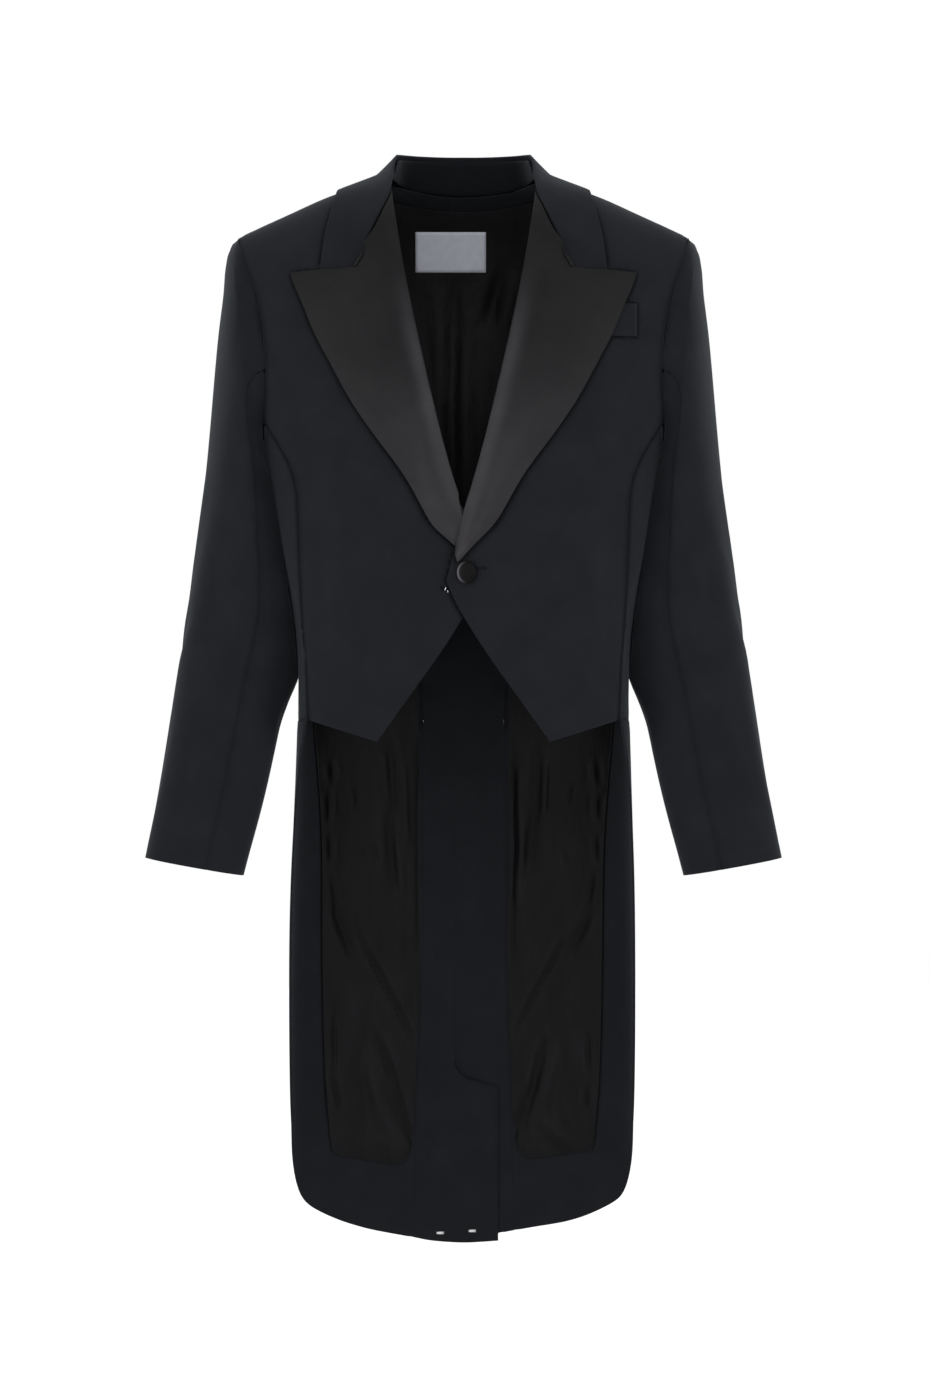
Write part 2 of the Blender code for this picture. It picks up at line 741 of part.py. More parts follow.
def add_lapels():
    """Satin lapels on the fronts, the wearer's left one over the right at its lower tip."""
    for name, side in (("lapel_left", 1), ("lapel_right", -1)):

        def place(u, v, side=side):
            spot = lapel_point(u, v if side > 0 else v * RIGHT_LAPEL_END)
            if side < 0:
                spot.x = max(spot.x, LAPEL_OVERLAP_GAP - smooth(FRONT_EDGE, "x", spot.y))
            lift = LAPEL_LIFT * ease(u / LAPEL_LIFT_END) + LAPEL_ROLL * sin(pi * u) + LAPEL_REST + LAPEL
            point = on_front(spot.x, spot.y, lift)
            if side < 0:
                point.x = -point.x
                under = ease((point.x - UNDERLAP_START) / (UNDERLAP_END - UNDERLAP_START))
                point.y += UNDERLAP_DEPTH * under
            return point

        cloth(name, place, LAPEL_COLUMNS, LAPEL_ROWS, torso_core, "satin", LAPEL)


def mirrored(points):
    """The points of one side, then back through their mirror images, the middle one once."""
    return points + [Vector((-point.x, point.y, point.z)) for point in reversed(points[:-1])]


def dropped(x, drop, lift):
    z = shoulder(x) - abs(drop)
    return raised(turn_at(x, z, back=drop > 0), z, lift)


def add_collar():
    """Collar in two walls: a stand round the neck and a fall folded out over the shoulders."""
    inner = mirrored([Vector((row.inner_x, row.inner_y, row.inner_z)) for row in COLLAR])
    edge = mirrored([dropped(row.edge_x, row.edge_drop, COLLAR_LIFT) for row in COLLAR])

    def fall(u, v):
        point = mix(along(inner, v), along(edge, v), u)
        point.z += FALL_SWELL * sin(pi * u) * sin(pi * v)
        return clear_of_body(point, COLLAR_LIFT)

    foot = mirrored([dropped(row.x, row.drop, 0) for row in STAND_FOOT])
    fold = inner[STAND_FIRST:len(inner) - STAND_FIRST]

    def stand(u, v):
        share = mix(STAND_START, 1 - STAND_START, v)
        low = along(foot, share) + Vector((0, 0, STAND_LIFT))
        high = along(fold, share)
        inward = Vector((-high.x, -high.y, 0)).normalized() * FOLD_DEPTH / 2
        return mix(low, high + inward - Vector((0, 0, FOLD_DEPTH)), u)

    cloth("collar_fall", fall, 5, 34, torso_core, "wool", WOOL)
    cloth("collar_stand", stand, 2, 24, torso_core, "wool", WOOL)


def add_welt():
    def place(u, v):
        x = mix(WELT_INNER, WELT_OUTER, u)
        return on_front(x, mix(WELT_TOP, WELT_BOTTOM, v), SEAM + WELT)

    cloth("pocket_welt", place, 4, 3, torso_core, "wool", WELT)


def add_button():
    """Covered button, a shallow dome turned round its own axis and seated on the left front."""
    turn = turn_at(BUTTON_X, BUTTON_Z)
    seat = raised(turn, BUTTON_Z, SEAM)
    out = normal(turn, BUTTON_Z)
    shape = bmesh.new()
    profile = [
        (0.0, 0.0),
        (BUTTON_RADIUS * 0.8, 0.0),
        (BUTTON_RADIUS, BUTTON_RIM),
        (BUTTON_RADIUS * 0.93, BUTTON_RIM * 1.9),
        (BUTTON_RADIUS * 0.6, BUTTON_HEIGHT * 0.9),
        (0.0, BUTTON_HEIGHT),
    ]
    corners = [shape.verts.new((radius * MM, 0, height * MM)) for radius, height in profile]
    for start, end in zip(corners, corners[1:]):
        shape.edges.new((start, end))
    bmesh.ops.spin(shape, geom=shape.verts[:] + shape.edges[:], angle=2 * pi, steps=20,
                   axis=(0, 0, 1), use_merge=True)
    bmesh.ops.remove_doubles(shape, verts=shape.verts[:], dist=1e-6)
    bmesh.ops.recalc_face_normals(shape, faces=shape.faces[:])
    lean = Vector((0, 0, 1)).rotation_difference(out)
    bmesh.ops.rotate(shape, verts=shape.verts[:], matrix=lean.to_matrix())
    bmesh.ops.translate(shape, verts=shape.verts[:], vec=seat * MM)
    add_piece("button", shape, "satin")


def add_hook():
    """Small metal hook end that shows on the right front beside the left front's edge."""
    shape = bmesh.new()
    bmesh.ops.create_cube(shape, size=1)
    bmesh.ops.scale(shape, verts=shape.verts[:],
                    vec=(HOOK_WIDTH * MM, HOOK_HEIGHT * MM, HOOK_LENGTH * MM))
    bmesh.ops.bevel(shape, geom=shape.edges[:], offset=HOOK_ROUND * MM, segments=1, profile=0.5,
                    affect="EDGES")
    lean = Vector((0, 0, 1)).rotation_difference(HOOK_LEAN)
    bmesh.ops.rotate(shape, verts=shape.verts[:], matrix=lean.to_matrix())
    seat = on_front(HOOK_X, HOOK_Z, SEAM + HOOK_HEIGHT / 2)
    under = ease((HOOK_X - UNDERLAP_START) / (UNDERLAP_END - UNDERLAP_START))
    seat.y += UNDERLAP_DEPTH * under
    bmesh.ops.translate(shape, verts=shape.verts[:], vec=seat * MM)
    add_piece("front_hook", shape, "metal")


def add_back_lining():
    """Lining inside the upper back, and the bare neck label on it."""
    depth = WOOL + LINING_CLEARANCE

    def back(u, v):
        x = mix(-BACK_LINING_HALF, BACK_LINING_HALF, u)
        z = mix(neck_height(x) - BACK_LINING_DROP, BACK_LINING_BOTTOM, crowded(v))
        return raised(turn_at(x, z, back=True), z, -depth)

    cloth("lining_back", back, 14, 13, behind_core, "lining", LINING)

    def label(u, v):
        x = LABEL_X + mix(-LABEL_HALF_WIDTH, LABEL_HALF_WIDTH, u)
        z = LABEL_Z + mix(LABEL_HALF_HEIGHT, -LABEL_HALF_HEIGHT, v)
        return raised(turn_at(x, z, back=True), z, -(depth + LINING + LABEL_CLEARANCE))

    cloth("neck_label", label, 6, 3, behind_core, "label", LABEL)


def main():
    for old in list(bpy.data.objects):
        bpy.data.objects.remove(old, do_unlink=True)
    add_fronts()
    add_sides()
    add_backs()
    add_tails()
    add_sleeves()
    add_lapels()
    add_collar()
    add_welt()
    add_button()
    add_hook()
    add_back_lining()


main()
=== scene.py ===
"""Evening tail coat: its cloth, sewing, finishes and studio light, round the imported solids."""

from collections import namedtuple
from math import cos, exp, pi, radians, sin

import bmesh
import bpy
from mathutils import Matrix, Vector
from mathutils.bvhtree import BVHTree
from mathutils.kdtree import KDTree


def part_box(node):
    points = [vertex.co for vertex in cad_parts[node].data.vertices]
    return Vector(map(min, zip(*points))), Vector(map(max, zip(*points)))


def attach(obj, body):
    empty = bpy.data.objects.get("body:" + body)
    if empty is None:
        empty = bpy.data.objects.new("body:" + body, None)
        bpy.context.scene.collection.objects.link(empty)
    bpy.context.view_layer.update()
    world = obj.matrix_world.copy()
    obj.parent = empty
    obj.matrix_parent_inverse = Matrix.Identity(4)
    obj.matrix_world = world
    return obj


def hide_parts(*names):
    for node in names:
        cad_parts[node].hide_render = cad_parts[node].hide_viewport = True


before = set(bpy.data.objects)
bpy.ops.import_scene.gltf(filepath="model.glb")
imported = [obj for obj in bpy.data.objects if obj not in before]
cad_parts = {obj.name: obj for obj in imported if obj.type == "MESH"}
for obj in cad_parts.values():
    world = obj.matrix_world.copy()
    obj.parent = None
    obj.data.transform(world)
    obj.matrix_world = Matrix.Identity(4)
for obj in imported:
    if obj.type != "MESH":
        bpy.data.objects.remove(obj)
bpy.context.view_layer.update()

# Sizes are in millimetres and each mesh is written in metres.
# +Z is up, the front faces -Y and +X is the wearer's left.
MM = 0.001

# Meshing of a CAD node: corners nearer than this are one, and flat triangles are joined
WELD = 0.02
JOIN_ANGLE = 35
JOIN_SHAPE = 80
OUTLINE_ANGLE = 35
SHARP_ANGLE = 50

# Where cloth meets cloth: seams, and the sleeves that hang against the body
EDGE_FROM = 0.3
SEAM_REACH = 6.5
SEAM_TUCK = 0.45
SEAM_OVERLAP = 0.2
SEAM_GROOVE = 0.16
HUG_REACH = 20
HUG_SHIFT = 10
HUG_REST = 0.05
HUG_FROM = -50
HUG_TO = -95
LINING_PUFF = 1.6
LABEL_REST = 0.2

# How much painted shade darkens the cloth's colour in seams, inside, in the linings' folds and beside a
# lapped edge, and painted light on the linings' ridges
SEAM_SHADE = 0.6
BACK_SHADE = 0.22
SLEEVE_SHADE = 0.2
INSIDE_SHADE = 0.28
FOLD_SHADE = 0.3
FOLD_LIGHT = 0.8
DARKEST_FOLD = 0.25
LAP_SHADE = 0.95
LAP_WIDTH = 2.0
LAP_DEPTH = 1.2
LAP_REACH = 8

# A fold is a soft ridge, or a trough where its depth is negative, between two places on one face
# of the coat. Across is X on the front and the back, and Y on the left and the right.
Fold = namedtuple("Fold", "face across top to bottom reach depth")
FACES = {
    "front": Vector((0, -1, 0)),
    "back": Vector((0, 1, 0)),
    "left": Vector((1, 0, 0)),
    "right": Vector((-1, 0, 0)),
}

# Section of a fold: a trough on each side of the ridge, and what its two ends keep of its height
FOLD_FAR = 9
FOLD_END = 0.35
TROUGH_SHARE = 0.35
TROUGH_AT = 1.7
FACING_GAIN = 1.6

# Folds of the body, seen from each side
BODY_FOLDS = [
    Fold("front", 150, -300, 146, -470, 14, -2.2),
    Fold("front", 128, -340, 132, -500, 12, 1.6),
    Fold("front", 104, -430, 98, -540, 10, -1.0),
    Fold("front", 60, -410, 92, -470, 11, 1.2),
    Fold("front", 46, -396, 84, -400, 9, -1.0),
    Fold("front", 170, -190, 150, -290, 13, -1.8),
    Fold("front", -148, -290, -145, -480, 13, -2.0),
    Fold("front", -126, -350, -128, -510, 11, 1.5),
    Fold("front", -100, -420, -96, -530, 9, -0.9),
    Fold("front", -56, -415, -88, -480, 10, 1.1),
    Fold("front", -172, -200, -152, -300, 12, -1.7),
    Fold("left", -20, -400, -6, -520, 12, 1.6),
    Fold("left", 34, -330, 24, -500, 12, -1.7),
    Fold("left", 66, -360, 48, -470, 10, 1.4),
    Fold("right", -16, -390, -10, -525, 12, 1.5),
    Fold("right", 38, -320, 26, -490, 11, -1.6),
    Fold("right", 62, -370, 50, -480, 10, 1.3),
    Fold("back", 120, -150, 88, -330, 15, -2.4),
    Fold("back", 90, -120, 66, -260, 12, 1.7),
    Fold("back", 60, -440, 20, -478, 10, -1.5),
    Fold("back", 74, -470, 26, -512, 9, 1.3),
    Fold("back", 44, -60, 30, -120, 13, -1.0),
    Fold("back", -118, -160, -92, -340, 14, -2.3),
    Fold("back", -94, -125, -64, -250, 12, 1.6),
    Fold("back", -64, -446, -24, -482, 10, -1.4),
    Fold("back", -70, -478, -20, -515, 9, 1.2),
    Fold("back", 34, -620, 30, -820, 9, 1.2),
    Fold("back", -36, -600, -30, -840, 9, 1.3),
    Fold("back", 22, -880, 30, -1020, 8, -1.1),
    Fold("back", -24, -930, -32, -1040, 8, -1.2),
]

# Folds of the wearer's left and right sleeves
SLEEVE_FOLDS = {
    "left": [
        Fold("front", 240, -330, 262, -470, 9, -1.8),
        Fold("front", 214, -390, 236, -450, 8, 1.6),
        Fold("front", 250, -480, 284, -600, 8, 1.3),
        Fold("front", 262, -560, 292, -680, 7, -1.1),
        Fold("front", 232, -180, 246, -330, 11, 1.4),
        Fold("front", 214, -250, 204, -370, 9, -1.7),
        Fold("left", -14, -420, 14, -470, 9, -1.9),
        Fold("left", -6, -300, 22, -420, 12, 1.5),
        Fold("left", -10, -520, -24, -660, 9, -1.2),
        Fold("back", 206, -330, 236, -440, 9, -1.9),
        Fold("back", 232, -400, 262, -500, 9, 1.7),
        Fold("back", 258, -500, 278, -640, 8, -1.3),
        Fold("back", 226, -140, 220, -300, 12, 1.6),
        Fold("right", 10, -380, -14, -440, 9, -1.8),
        Fold("right", 0, -450, -20, -560, 8, 1.4),
    ],
    "right": [
        Fold("front", -242, -340, -264, -480, 9, -1.7),
        Fold("front", -216, -400, -238, -465, 8, 1.5),
        Fold("front", -246, -490, -276, -610, 8, 1.4),
        Fold("front", -270, -540, -300, -670, 7, -1.2),
        Fold("front", -230, -190, -248, -320, 11, 1.3),
        Fold("front", -212, -260, -204, -380, 9, -1.6),
        Fold("right", -12, -430, 12, -480, 9, -1.8),
        Fold("right", -4, -290, 20, -410, 12, 1.5),
        Fold("right", -14, -530, -26, -650, 9, -1.1),
        Fold("back", -208, -340, -238, -450, 9, -1.8),
        Fold("back", -230, -410, -260, -510, 9, 1.6),
        Fold("back", -256, -510, -276, -630, 8, -1.3),
        Fold("back", -224, -150, -222, -310, 12, 1.5),
        Fold("left", 12, -370, -12, -430, 9, -1.8),
        Fold("left", 2, -440, -22, -550, 8, 1.3),
    ],
}

# Folds of the linings of the tails, as seen from the front
LINING_FOLDS = {
    "left": [
        Fold("front", 104, -772, 54, -868, 3.2, -3.4),
        Fold("front", 132, -742, 112, -782, 5, -2.4),
        Fold("front", 84, -878, 62, -974, 4.6, -3.6),
        Fold("front", 66, -930, 50, -984, 5, -3.2),
        Fold("front", 98, -884, 82, -950, 6, 2.2),
        Fold("front", 76, -560, 72, -700, 6, -2.6),
        Fold("front", 58, -590, 60, -690, 3.4, 2.2),
        Fold("front", 86, -580, 84, -640, 3.2, 2.4),
        Fold("front", 66, -640, 56, -730, 4.2, 2.0),
        Fold("front", 50, -560, 51, -800, 4.4, -2.2),
        Fold("front", 136, -585, 137, -604, 3.4, -2.8),
        Fold("front", 139, -618, 138, -640, 3.2, -2.4),
        Fold("front", 137, -664, 138, -684, 3.0, -2.2),
        Fold("front", 135, -700, 130, -736, 3.2, -1.8),
        Fold("front", 130, -868, 131, -912, 2.6, -2.2),
        Fold("front", 130, -926, 127, -948, 3.4, -2.4),
        Fold("front", 112, -606, 108, -628, 2.6, -1.6),
        Fold("front", 104, -676, 108, -692, 2.6, -1.6),
        Fold("front", 84, -960, 108, -985, 7, 1.8),
        Fold("front", 110, -820, 118, -900, 9, 1.6),
    ],
    "right": [
        Fold("front", -107, -766, -52, -880, 3.2, -3.4),
        Fold("front", -134, -736, -112, -790, 5, -2.4),
        Fold("front", -88, -874, -52, -988, 4.6, -3.8),
        Fold("front", -84, -920, -62, -978, 5, -2.8),
        Fold("front", -100, -890, -86, -960, 6, 2.2),
        Fold("front", -78, -560, -74, -716, 6, -2.6),
        Fold("front", -62, -584, -60, -680, 3.4, 2.2),
        Fold("front", -84, -574, -78, -634, 3.2, 2.4),
        Fold("front", -74, -640, -64, -724, 4.2, 2.0),
        Fold("front", -47, -560, -46, -790, 4.4, -2.2),
        Fold("front", -138, -584, -135, -602, 3.4, -2.6),
        Fold("front", -140, -616, -139, -642, 3.0, -2.2),
        Fold("front", -138, -660, -137, -686, 3.2, -2.4),
        Fold("front", -136, -704, -130, -742, 3.0, -1.8),
        Fold("front", -133, -850, -132, -910, 2.6, -2.0),
        Fold("front", -134, -912, -127, -950, 3.6, -2.6),
        Fold("front", -112, -612, -109, -630, 2.6, -1.5),
        Fold("front", -93, -672, -90, -692, 2.6, -1.6),
        Fold("front", -60, -1000, -48, -990, 4, -1.4),
        Fold("front", -112, -830, -120, -905, 9, 1.6),
    ],
}

# Folds of the back's lining, with the pleat down its middle
BACK_LINING_FOLDS = [
    Fold("front", -10, -86, -10, -330, 8, -1.5),
    Fold("front", -1, -140, -3, -300, 9, 1.0),
    Fold("front", 40, -66, 26, -124, 8, -1.7),
    Fold("front", 54, -78, 40, -136, 9, 1.0),
    Fold("front", -48, -90, -36, -200, 11, -0.8),
    Fold("front", 34, -170, 26, -280, 10, -0.9),
    Fold("front", -30, -210, -24, -320, 10, 0.9),
]

# Line along which each front and its lapel turn back, as seen from the front
Point = namedtuple("Point", "x z")
ROLL = [
    Point(73.8, -3.7), Point(70.5, -40), Point(64.6, -87.2), Point(55.5, -150), Point(40.5, -224.3),
    Point(21.5, -280), Point(1, -331.2), Point(-6.5, -357), Point(-9, -371),
]
ROLL_REACH = 11
ROLL_DEPTH = 3.2
ROLL_END = -371
ROLL_FADE = 24

# The fronts are forward of this Y, and the roll lines meet at this X
FRONT_Y = -20
MIDDLE_X = -10

# Middle of an arm at heights, how far the tails' middle stands back and how wide the body is
Spot = namedtuple("Spot", "z x y")
ARM = [
    Spot(-690, 275, -31), Spot(-600, 254, -11), Spot(-512, 240, 7), Spot(-430, 228, 22),
    Spot(-350, 227, 26), Spot(-280, 226, 22), Spot(-160, 222, 6), Spot(-40, 222, 0),
]
BODY_SPREAD = 2.6
TAILS_BACK = 62
TAILS_FROM = -547
TAILS_TO = -860

# Top of the collar, and its ends, which come down and in to the tops of the lapels
COLLAR_LIFT = 4.6
COLLAR_FROM = 6
COLLAR_HEIGHT = 36
COLLAR_HALF = 75
COLLAR_FRONT_Y = -60
COLLAR_LOW = -44
COLLAR_RUN = 32
COLLAR_DOWN = (4.7, 8.4)
COLLAR_IN = 6.5
COLLAR_PROUD = 0.8

# Lower end of the wearer's right lapel, which goes down and in under the left one
LAPEL_LOW = -322
LAPEL_RUN = 45
LAPEL_DOWN = 4.2
TIP_Z = -341
TIP_REACH = 23
TIP_FROM = -34
TIP_WIDTH = 26
TIP_IN = Vector((8.5, 2.4, 0))

# Painted highlight and shade in the lapels' colour, at their tops, towards the button and beside the roll
# line
SHINE_TOP = 0.9
SHINE_LOW = 1.7
SHINE_ROLL = 2.6
SHINE_AT = 5
SHINE_WIDTH = 7

# Button's middle, turn and oval face, and the painted highlight on its rim
BUTTON = Vector((3.8, -123.6, -389.6))
BUTTON_TURN = 14
BUTTON_OVAL = 1.08
BUTTON_RISE = 1.8
BUTTON_RADIUS = 11
BUTTON_SHINE = 42
RIM_AT = 10.2
RIM_WIDTH = 1.1

# How far and where the roll lines come nearer to each other
THROAT_Z = -218
THROAT_UP = 145
THROAT_DOWN = 90
THROAT_SHIFT = 11
THROAT_REACH = 55
THROAT_TOP = 40
THROAT_END = -378
THROAT_FADE = 46

# Fuller lower outer corners of the tails, and the wearer's right tail a little wider
TAIL_OUT = 2.8
TAIL_RUN = 250
CORNER_TOP = -955
CORNER_RUN = 85
CORNER_LOW = -1000
CORNER_SOFT = 40
CORNER_OUT = 7.6
CORNER_DOWN = 2.2

# Buttonhole, from beside the button to its eyelet
HOLE_START = Point(11, -386.6)
HOLE_END = Point(20.6, -385.5)
HOLE_STEP = 0.62
HOLE_SLIT = 0.35
HOLE_STITCH = 1.1
HOLE_EYE = 0.9
HOLE_FAN = 15
HOLE_LEAN = 0.2
HOLE_PROUD = 0.1
THREAD = 0.26

# White thread bars over the vent, on the inside at the hem
TACKS = (Point(-24.7, -1079), Point(9, -1076.9))
TACK_THREADS = 4
TACK_STEP = 0.58
TACK_HALF = 4.2
TACK_RADIUS = 0.36
TACK_PROUD = 0.3

# Stitches at the ends of the label
LABEL_INSET = 1.3
LABEL_STEP = 2.6
LABEL_STITCH = 1.7
LABEL_THREAD = 0.17
LABEL_PROUD = 0.12

# Bends of the hook's wire and how far they stand off the cloth
Bend = namedtuple("Bend", "x z proud")
HOOK_BENDS = (Bend(-22.2, -403.8, 0.3), Bend(-21.0, -407.6, 0.3), Bend(-19.0, -407.4, 0.7),
              Bend(-17.2, -404.7, 0.8), Bend(-16.0, -406.4, 0.4), Bend(-15.8, -407.8, 0.6),
              Bend(-15.6, -410.0, 1.3))
HOOK_WIRE = 0.4
HOOK_WRAPS = ((0, 2), (3, 5))
HOOK_STEP = 0.55
WRAP_HALF = 0.9
WRAP_PROUD = 0.9
WRAP_RADIUS = 0.5

# Material slot of the record that each finish comes under
SLOTS = {
    "worsted": "wool", "collar_wool_painted_shade": "wool", "lapel_silk": "satin", "button_silk": "satin",
    "back_lining": "lining", "tail_lining": "lining", "label_tape": "label", "plated_wire": "metal",
    "dark_thread": "satin", "white_thread": "label", "label_thread": "label",
}

# Flat width, length and area in metres of what shows of each cut piece, and how it is held
Cut = namedtuple("Cut", "width length area held rests_on")

# Colours of the wool and the satin, from their darkest threads to their lightest
WOOL_SHADES = [
    (0.3, (0.0064, 0.0074, 0.0094)),
    (0.52, (0.0082, 0.0094, 0.0116)),
    (0.72, (0.0104, 0.0116, 0.0140)),
]

SATIN_SHADES = [
    (0.3, (0.0050, 0.0046, 0.0052)),
    (0.7, (0.0077, 0.0074, 0.0080)),
]

# Camera, as far off as the photograph's, level with the middle of the coat, in metres
CAMERA = Vector((0.0015, -5.0, -0.5155))
LENS = 125.27
SENSOR = 36

# Pale floor, below the coat and wider than the view, in metres
FLOOR_RADIUS = 9
FLOOR_Z = -1.35


def mix(first, second, share):
    return first + (second - first) * share


def clamp(share):
    return min(1.0, max(0.0, share))


def ease(share):
    share = clamp(share)
    return share * share * (3 - 2 * share)


def spot_on_arm(z):
    """Middle of the wearer's left arm at a height."""
    if z <= ARM[0].z:
        return ARM[0]
    for low, high in zip(ARM, ARM[1:]):
        if z <= high.z:
            share = (z - low.z) / (high.z - low.z)
            return Spot(z, mix(low.x, high.x, share), mix(low.y, high.y, share))
    return ARM[-1]


def body_out(point):
    """Level direction out of the body of the coat."""
    back = TAILS_BACK * ease((TAILS_FROM - point.z) / (TAILS_FROM - TAILS_TO))
    return Vector((point.x / BODY_SPREAD, point.y - back, 0)).normalized()


def arm_out(point):
    """Level direction out of the sleeve that a place is on."""
    side = 1 if point.x > 0 else -1
    middle = spot_on_arm(point.z)
    return Vector((point.x - side * middle.x, point.y - middle.y, 0)).normalized()


def forward(_point):
    """Direction of what is seen only from the front, such as the linings."""
    return Vector((0, -1, 0))


def relief(folds, point, out):
    """Height that the folds give a place on the cloth."""
    total = 0.0
    for fold in folds:
        facing = out.dot(FACES[fold.face])
        if facing <= 0:
            continue
        across = point.x if fold.face in ("front", "back") else point.y
        run = Vector((fold.to - fold.across, fold.bottom - fold.top))
        place = Vector((across - fold.across, point.z - fold.top))
        share = place.dot(run) / run.length_squared
        past = run * (share - clamp(share))
        side = (place.x * run.y - place.y * run.x) / run.length / fold.reach
        away = side * side + past.length_squared / (fold.reach * fold.reach)
        if away > FOLD_FAR:
            continue
        swell = FOLD_END + (1 - FOLD_END) * sin(pi * clamp(share)) ** 0.6
        trough = exp(-((abs(side) - TROUGH_AT) ** 2) - past.length_squared)
        total += fold.depth * swell * (exp(-away) - TROUGH_SHARE * trough) * min(1.0, facing * FACING_GAIN)
    return total


def off_roll(point):
    """Distance of a place from the roll line of its own side, as seen from the front."""
    side = 1 if point.x > MIDDLE_X else -1
    best = 1e9
    place = Vector((point.x * side, point.z))
    for high, low in zip(ROLL, ROLL[1:]):
        start = Vector((high.x, high.z))
        run = Vector((low.x, low.z)) - start
        share = clamp((place - start).dot(run) / run.length_squared)
        best = min(best, (place - start - run * share).length)
    return best


def roll_back(point):
    """Height of a front or a lapel beside its roll line, where it turns in."""
    if point.y > FRONT_Y:
        return 0.0
    fade = ease((point.z - ROLL_END) / ROLL_FADE)
    return -ROLL_DEPTH * exp(-((off_roll(point) / ROLL_REACH) ** 2)) * fade


def throat(point):
    """Brings the roll lines straighter and nearer to each other, as the photograph shows them."""
    if point.y > FRONT_Y:
        return Vector()
    side = 1 if point.x > MIDDLE_X else -1
    run = THROAT_UP if point.z > THROAT_Z else THROAT_DOWN
    shift = THROAT_SHIFT * exp(-(((point.z - THROAT_Z) / run) ** 2)) * ease(-point.z / THROAT_TOP)
    shift *= ease((point.z - THROAT_END) / THROAT_FADE)
    return Vector((-side * shift * ease(1 - off_roll(point) / THROAT_REACH), 0, 0))


def lapel_tip(point):
    """Brings the wearer's right lapel down beside the button and in under the left one."""
    low = ease((LAPEL_LOW - point.z) / LAPEL_RUN)
    inner = ease((point.x - TIP_FROM) / TIP_WIDTH) * exp(-(((point.z - TIP_Z) / TIP_REACH) ** 2))
    return throat(point) + TIP_IN * inner + Vector((0, 0, -LAPEL_DOWN * low))


def lapel_painted_highlight(point):
    """Painted highlight on the silk, stronger towards the button and along the roll line; it scales the
    silk's colour.
    """
    low = ease((-150 - point.z) / 190)
    beside = exp(-(((off_roll(point) - SHINE_AT) / SHINE_WIDTH) ** 2)) * ease((-70 - point.z) / 110)
    return SHINE_TOP + SHINE_LOW * low + SHINE_ROLL * beside * (1 - 0.5 * low)


def button_painted_light(point):
    """Painted highlight on the button's left rim, and painted shade that darkens its right side."""
    place = point - BUTTON
    around = Vector((place.x, place.z))
    rim = exp(-(((around.length - RIM_AT) / RIM_WIDTH) ** 2)) * ease(-around.x / BUTTON_RADIUS)
    return max(0.3, 1.3 - 0.09 * place.x) + BUTTON_SHINE * rim


def collar_lift(point):
    """Raises the top of the collar to the height that the photograph shows."""
    up = ease((point.z - COLLAR_FROM) / COLLAR_HEIGHT)
    return Vector((0, 0, COLLAR_LIFT * up * (1 - 0.35 * clamp(abs(point.x) / COLLAR_HALF))))


def collar_end(point):
    """Brings the ends of the collar down to the tops of the lapels, and its top up."""
    if point.y > COLLAR_FRONT_Y:
        return collar_lift(point)
    low = ease((COLLAR_LOW - point.z) / COLLAR_RUN)
    corner = ease((130 - abs(point.x)) / 16) * ease((-50 - point.z) / 20)
    inward = -COLLAR_IN if point.x > 0 else COLLAR_IN
    down = mix(*COLLAR_DOWN, clamp((abs(point.x) - 110) / 34)) * low
    return Vector((inward * corner, -COLLAR_PROUD * corner, -down))


def tail_corner(point):
    """Fills out the tails towards their lower outer corners, as the photograph shows them."""
    side = 1 if point.x > 0 else -1
    outer = ease((abs(point.x) - 62) / 60)
    whole = TAIL_OUT * ease((TAILS_FROM - point.z) / TAIL_RUN) if point.x < 0 else 0
    along = whole + CORNER_OUT * ease((CORNER_TOP - point.z) / CORNER_RUN)
    down = CORNER_DOWN * ease((CORNER_LOW - point.z) / CORNER_SOFT) * ease((abs(point.x) - 40) / 60)
    return Vector((side * outer * along, 0, -down))


def label_rise(_point):
    """Lifts the label onto the lining, which is puffed out."""
    return LINING_PUFF + LABEL_REST


def button_turn(point):
    """Turns the button a little on its shank, as it hangs, and gives it its oval face."""
    place = point - BUTTON
    oval = Vector((place.x, place.y, place.z * BUTTON_OVAL))
    turned = Matrix.Rotation(radians(BUTTON_TURN), 3, "Z") @ oval
    return turned - place + Vector((0, -BUTTON_RISE, 0))


def grown(source, levels, outlined=True):
    """Mesh of a CAD node made smooth, its outline kept, with a share from its edges in rim."""
    shape = bmesh.new()
    shape.from_mesh(source)
    bmesh.ops.remove_doubles(shape, verts=shape.verts[:], dist=WELD * MM)
    bmesh.ops.join_triangles(shape, faces=shape.faces[:], angle_face_threshold=radians(JOIN_ANGLE),
                             angle_shape_threshold=radians(JOIN_SHAPE))
    crease = shape.edges.layers.float.new("crease_edge")
    rim = shape.verts.layers.float.new("rim")
    for edge in shape.edges:
        if outlined and edge.is_manifold and edge.calc_face_angle() > radians(OUTLINE_ANGLE):
            edge[crease] = 1.0
            for corner in edge.verts:
                corner[rim] = 1.0
    mesh = bpy.data.meshes.new("grown")
    shape.to_mesh(mesh)
    shape.free()
    holder = bpy.data.objects.new("grown", mesh)
    bpy.context.scene.collection.objects.link(holder)
    smoother = holder.modifiers.new("smoother", "SUBSURF")
    smoother.levels = levels
    smoother.render_levels = levels
    bpy.context.view_layer.update()
    found = holder.evaluated_get(bpy.context.evaluated_depsgraph_get())
    result = bpy.data.meshes.new_from_object(found)
    bpy.data.objects.remove(holder)
    bpy.data.meshes.remove(mesh)
    return result


def tree_of(meshes):
    """One search tree over several meshes."""
    corners = []
    faces = []
    for mesh in meshes:
        start = len(corners)
        corners.extend(corner.co.copy() for corner in mesh.vertices)
        faces.extend([start + number for number in face.vertices] for face in mesh.polygons)
    return BVHTree.FromPolygons(corners, faces)


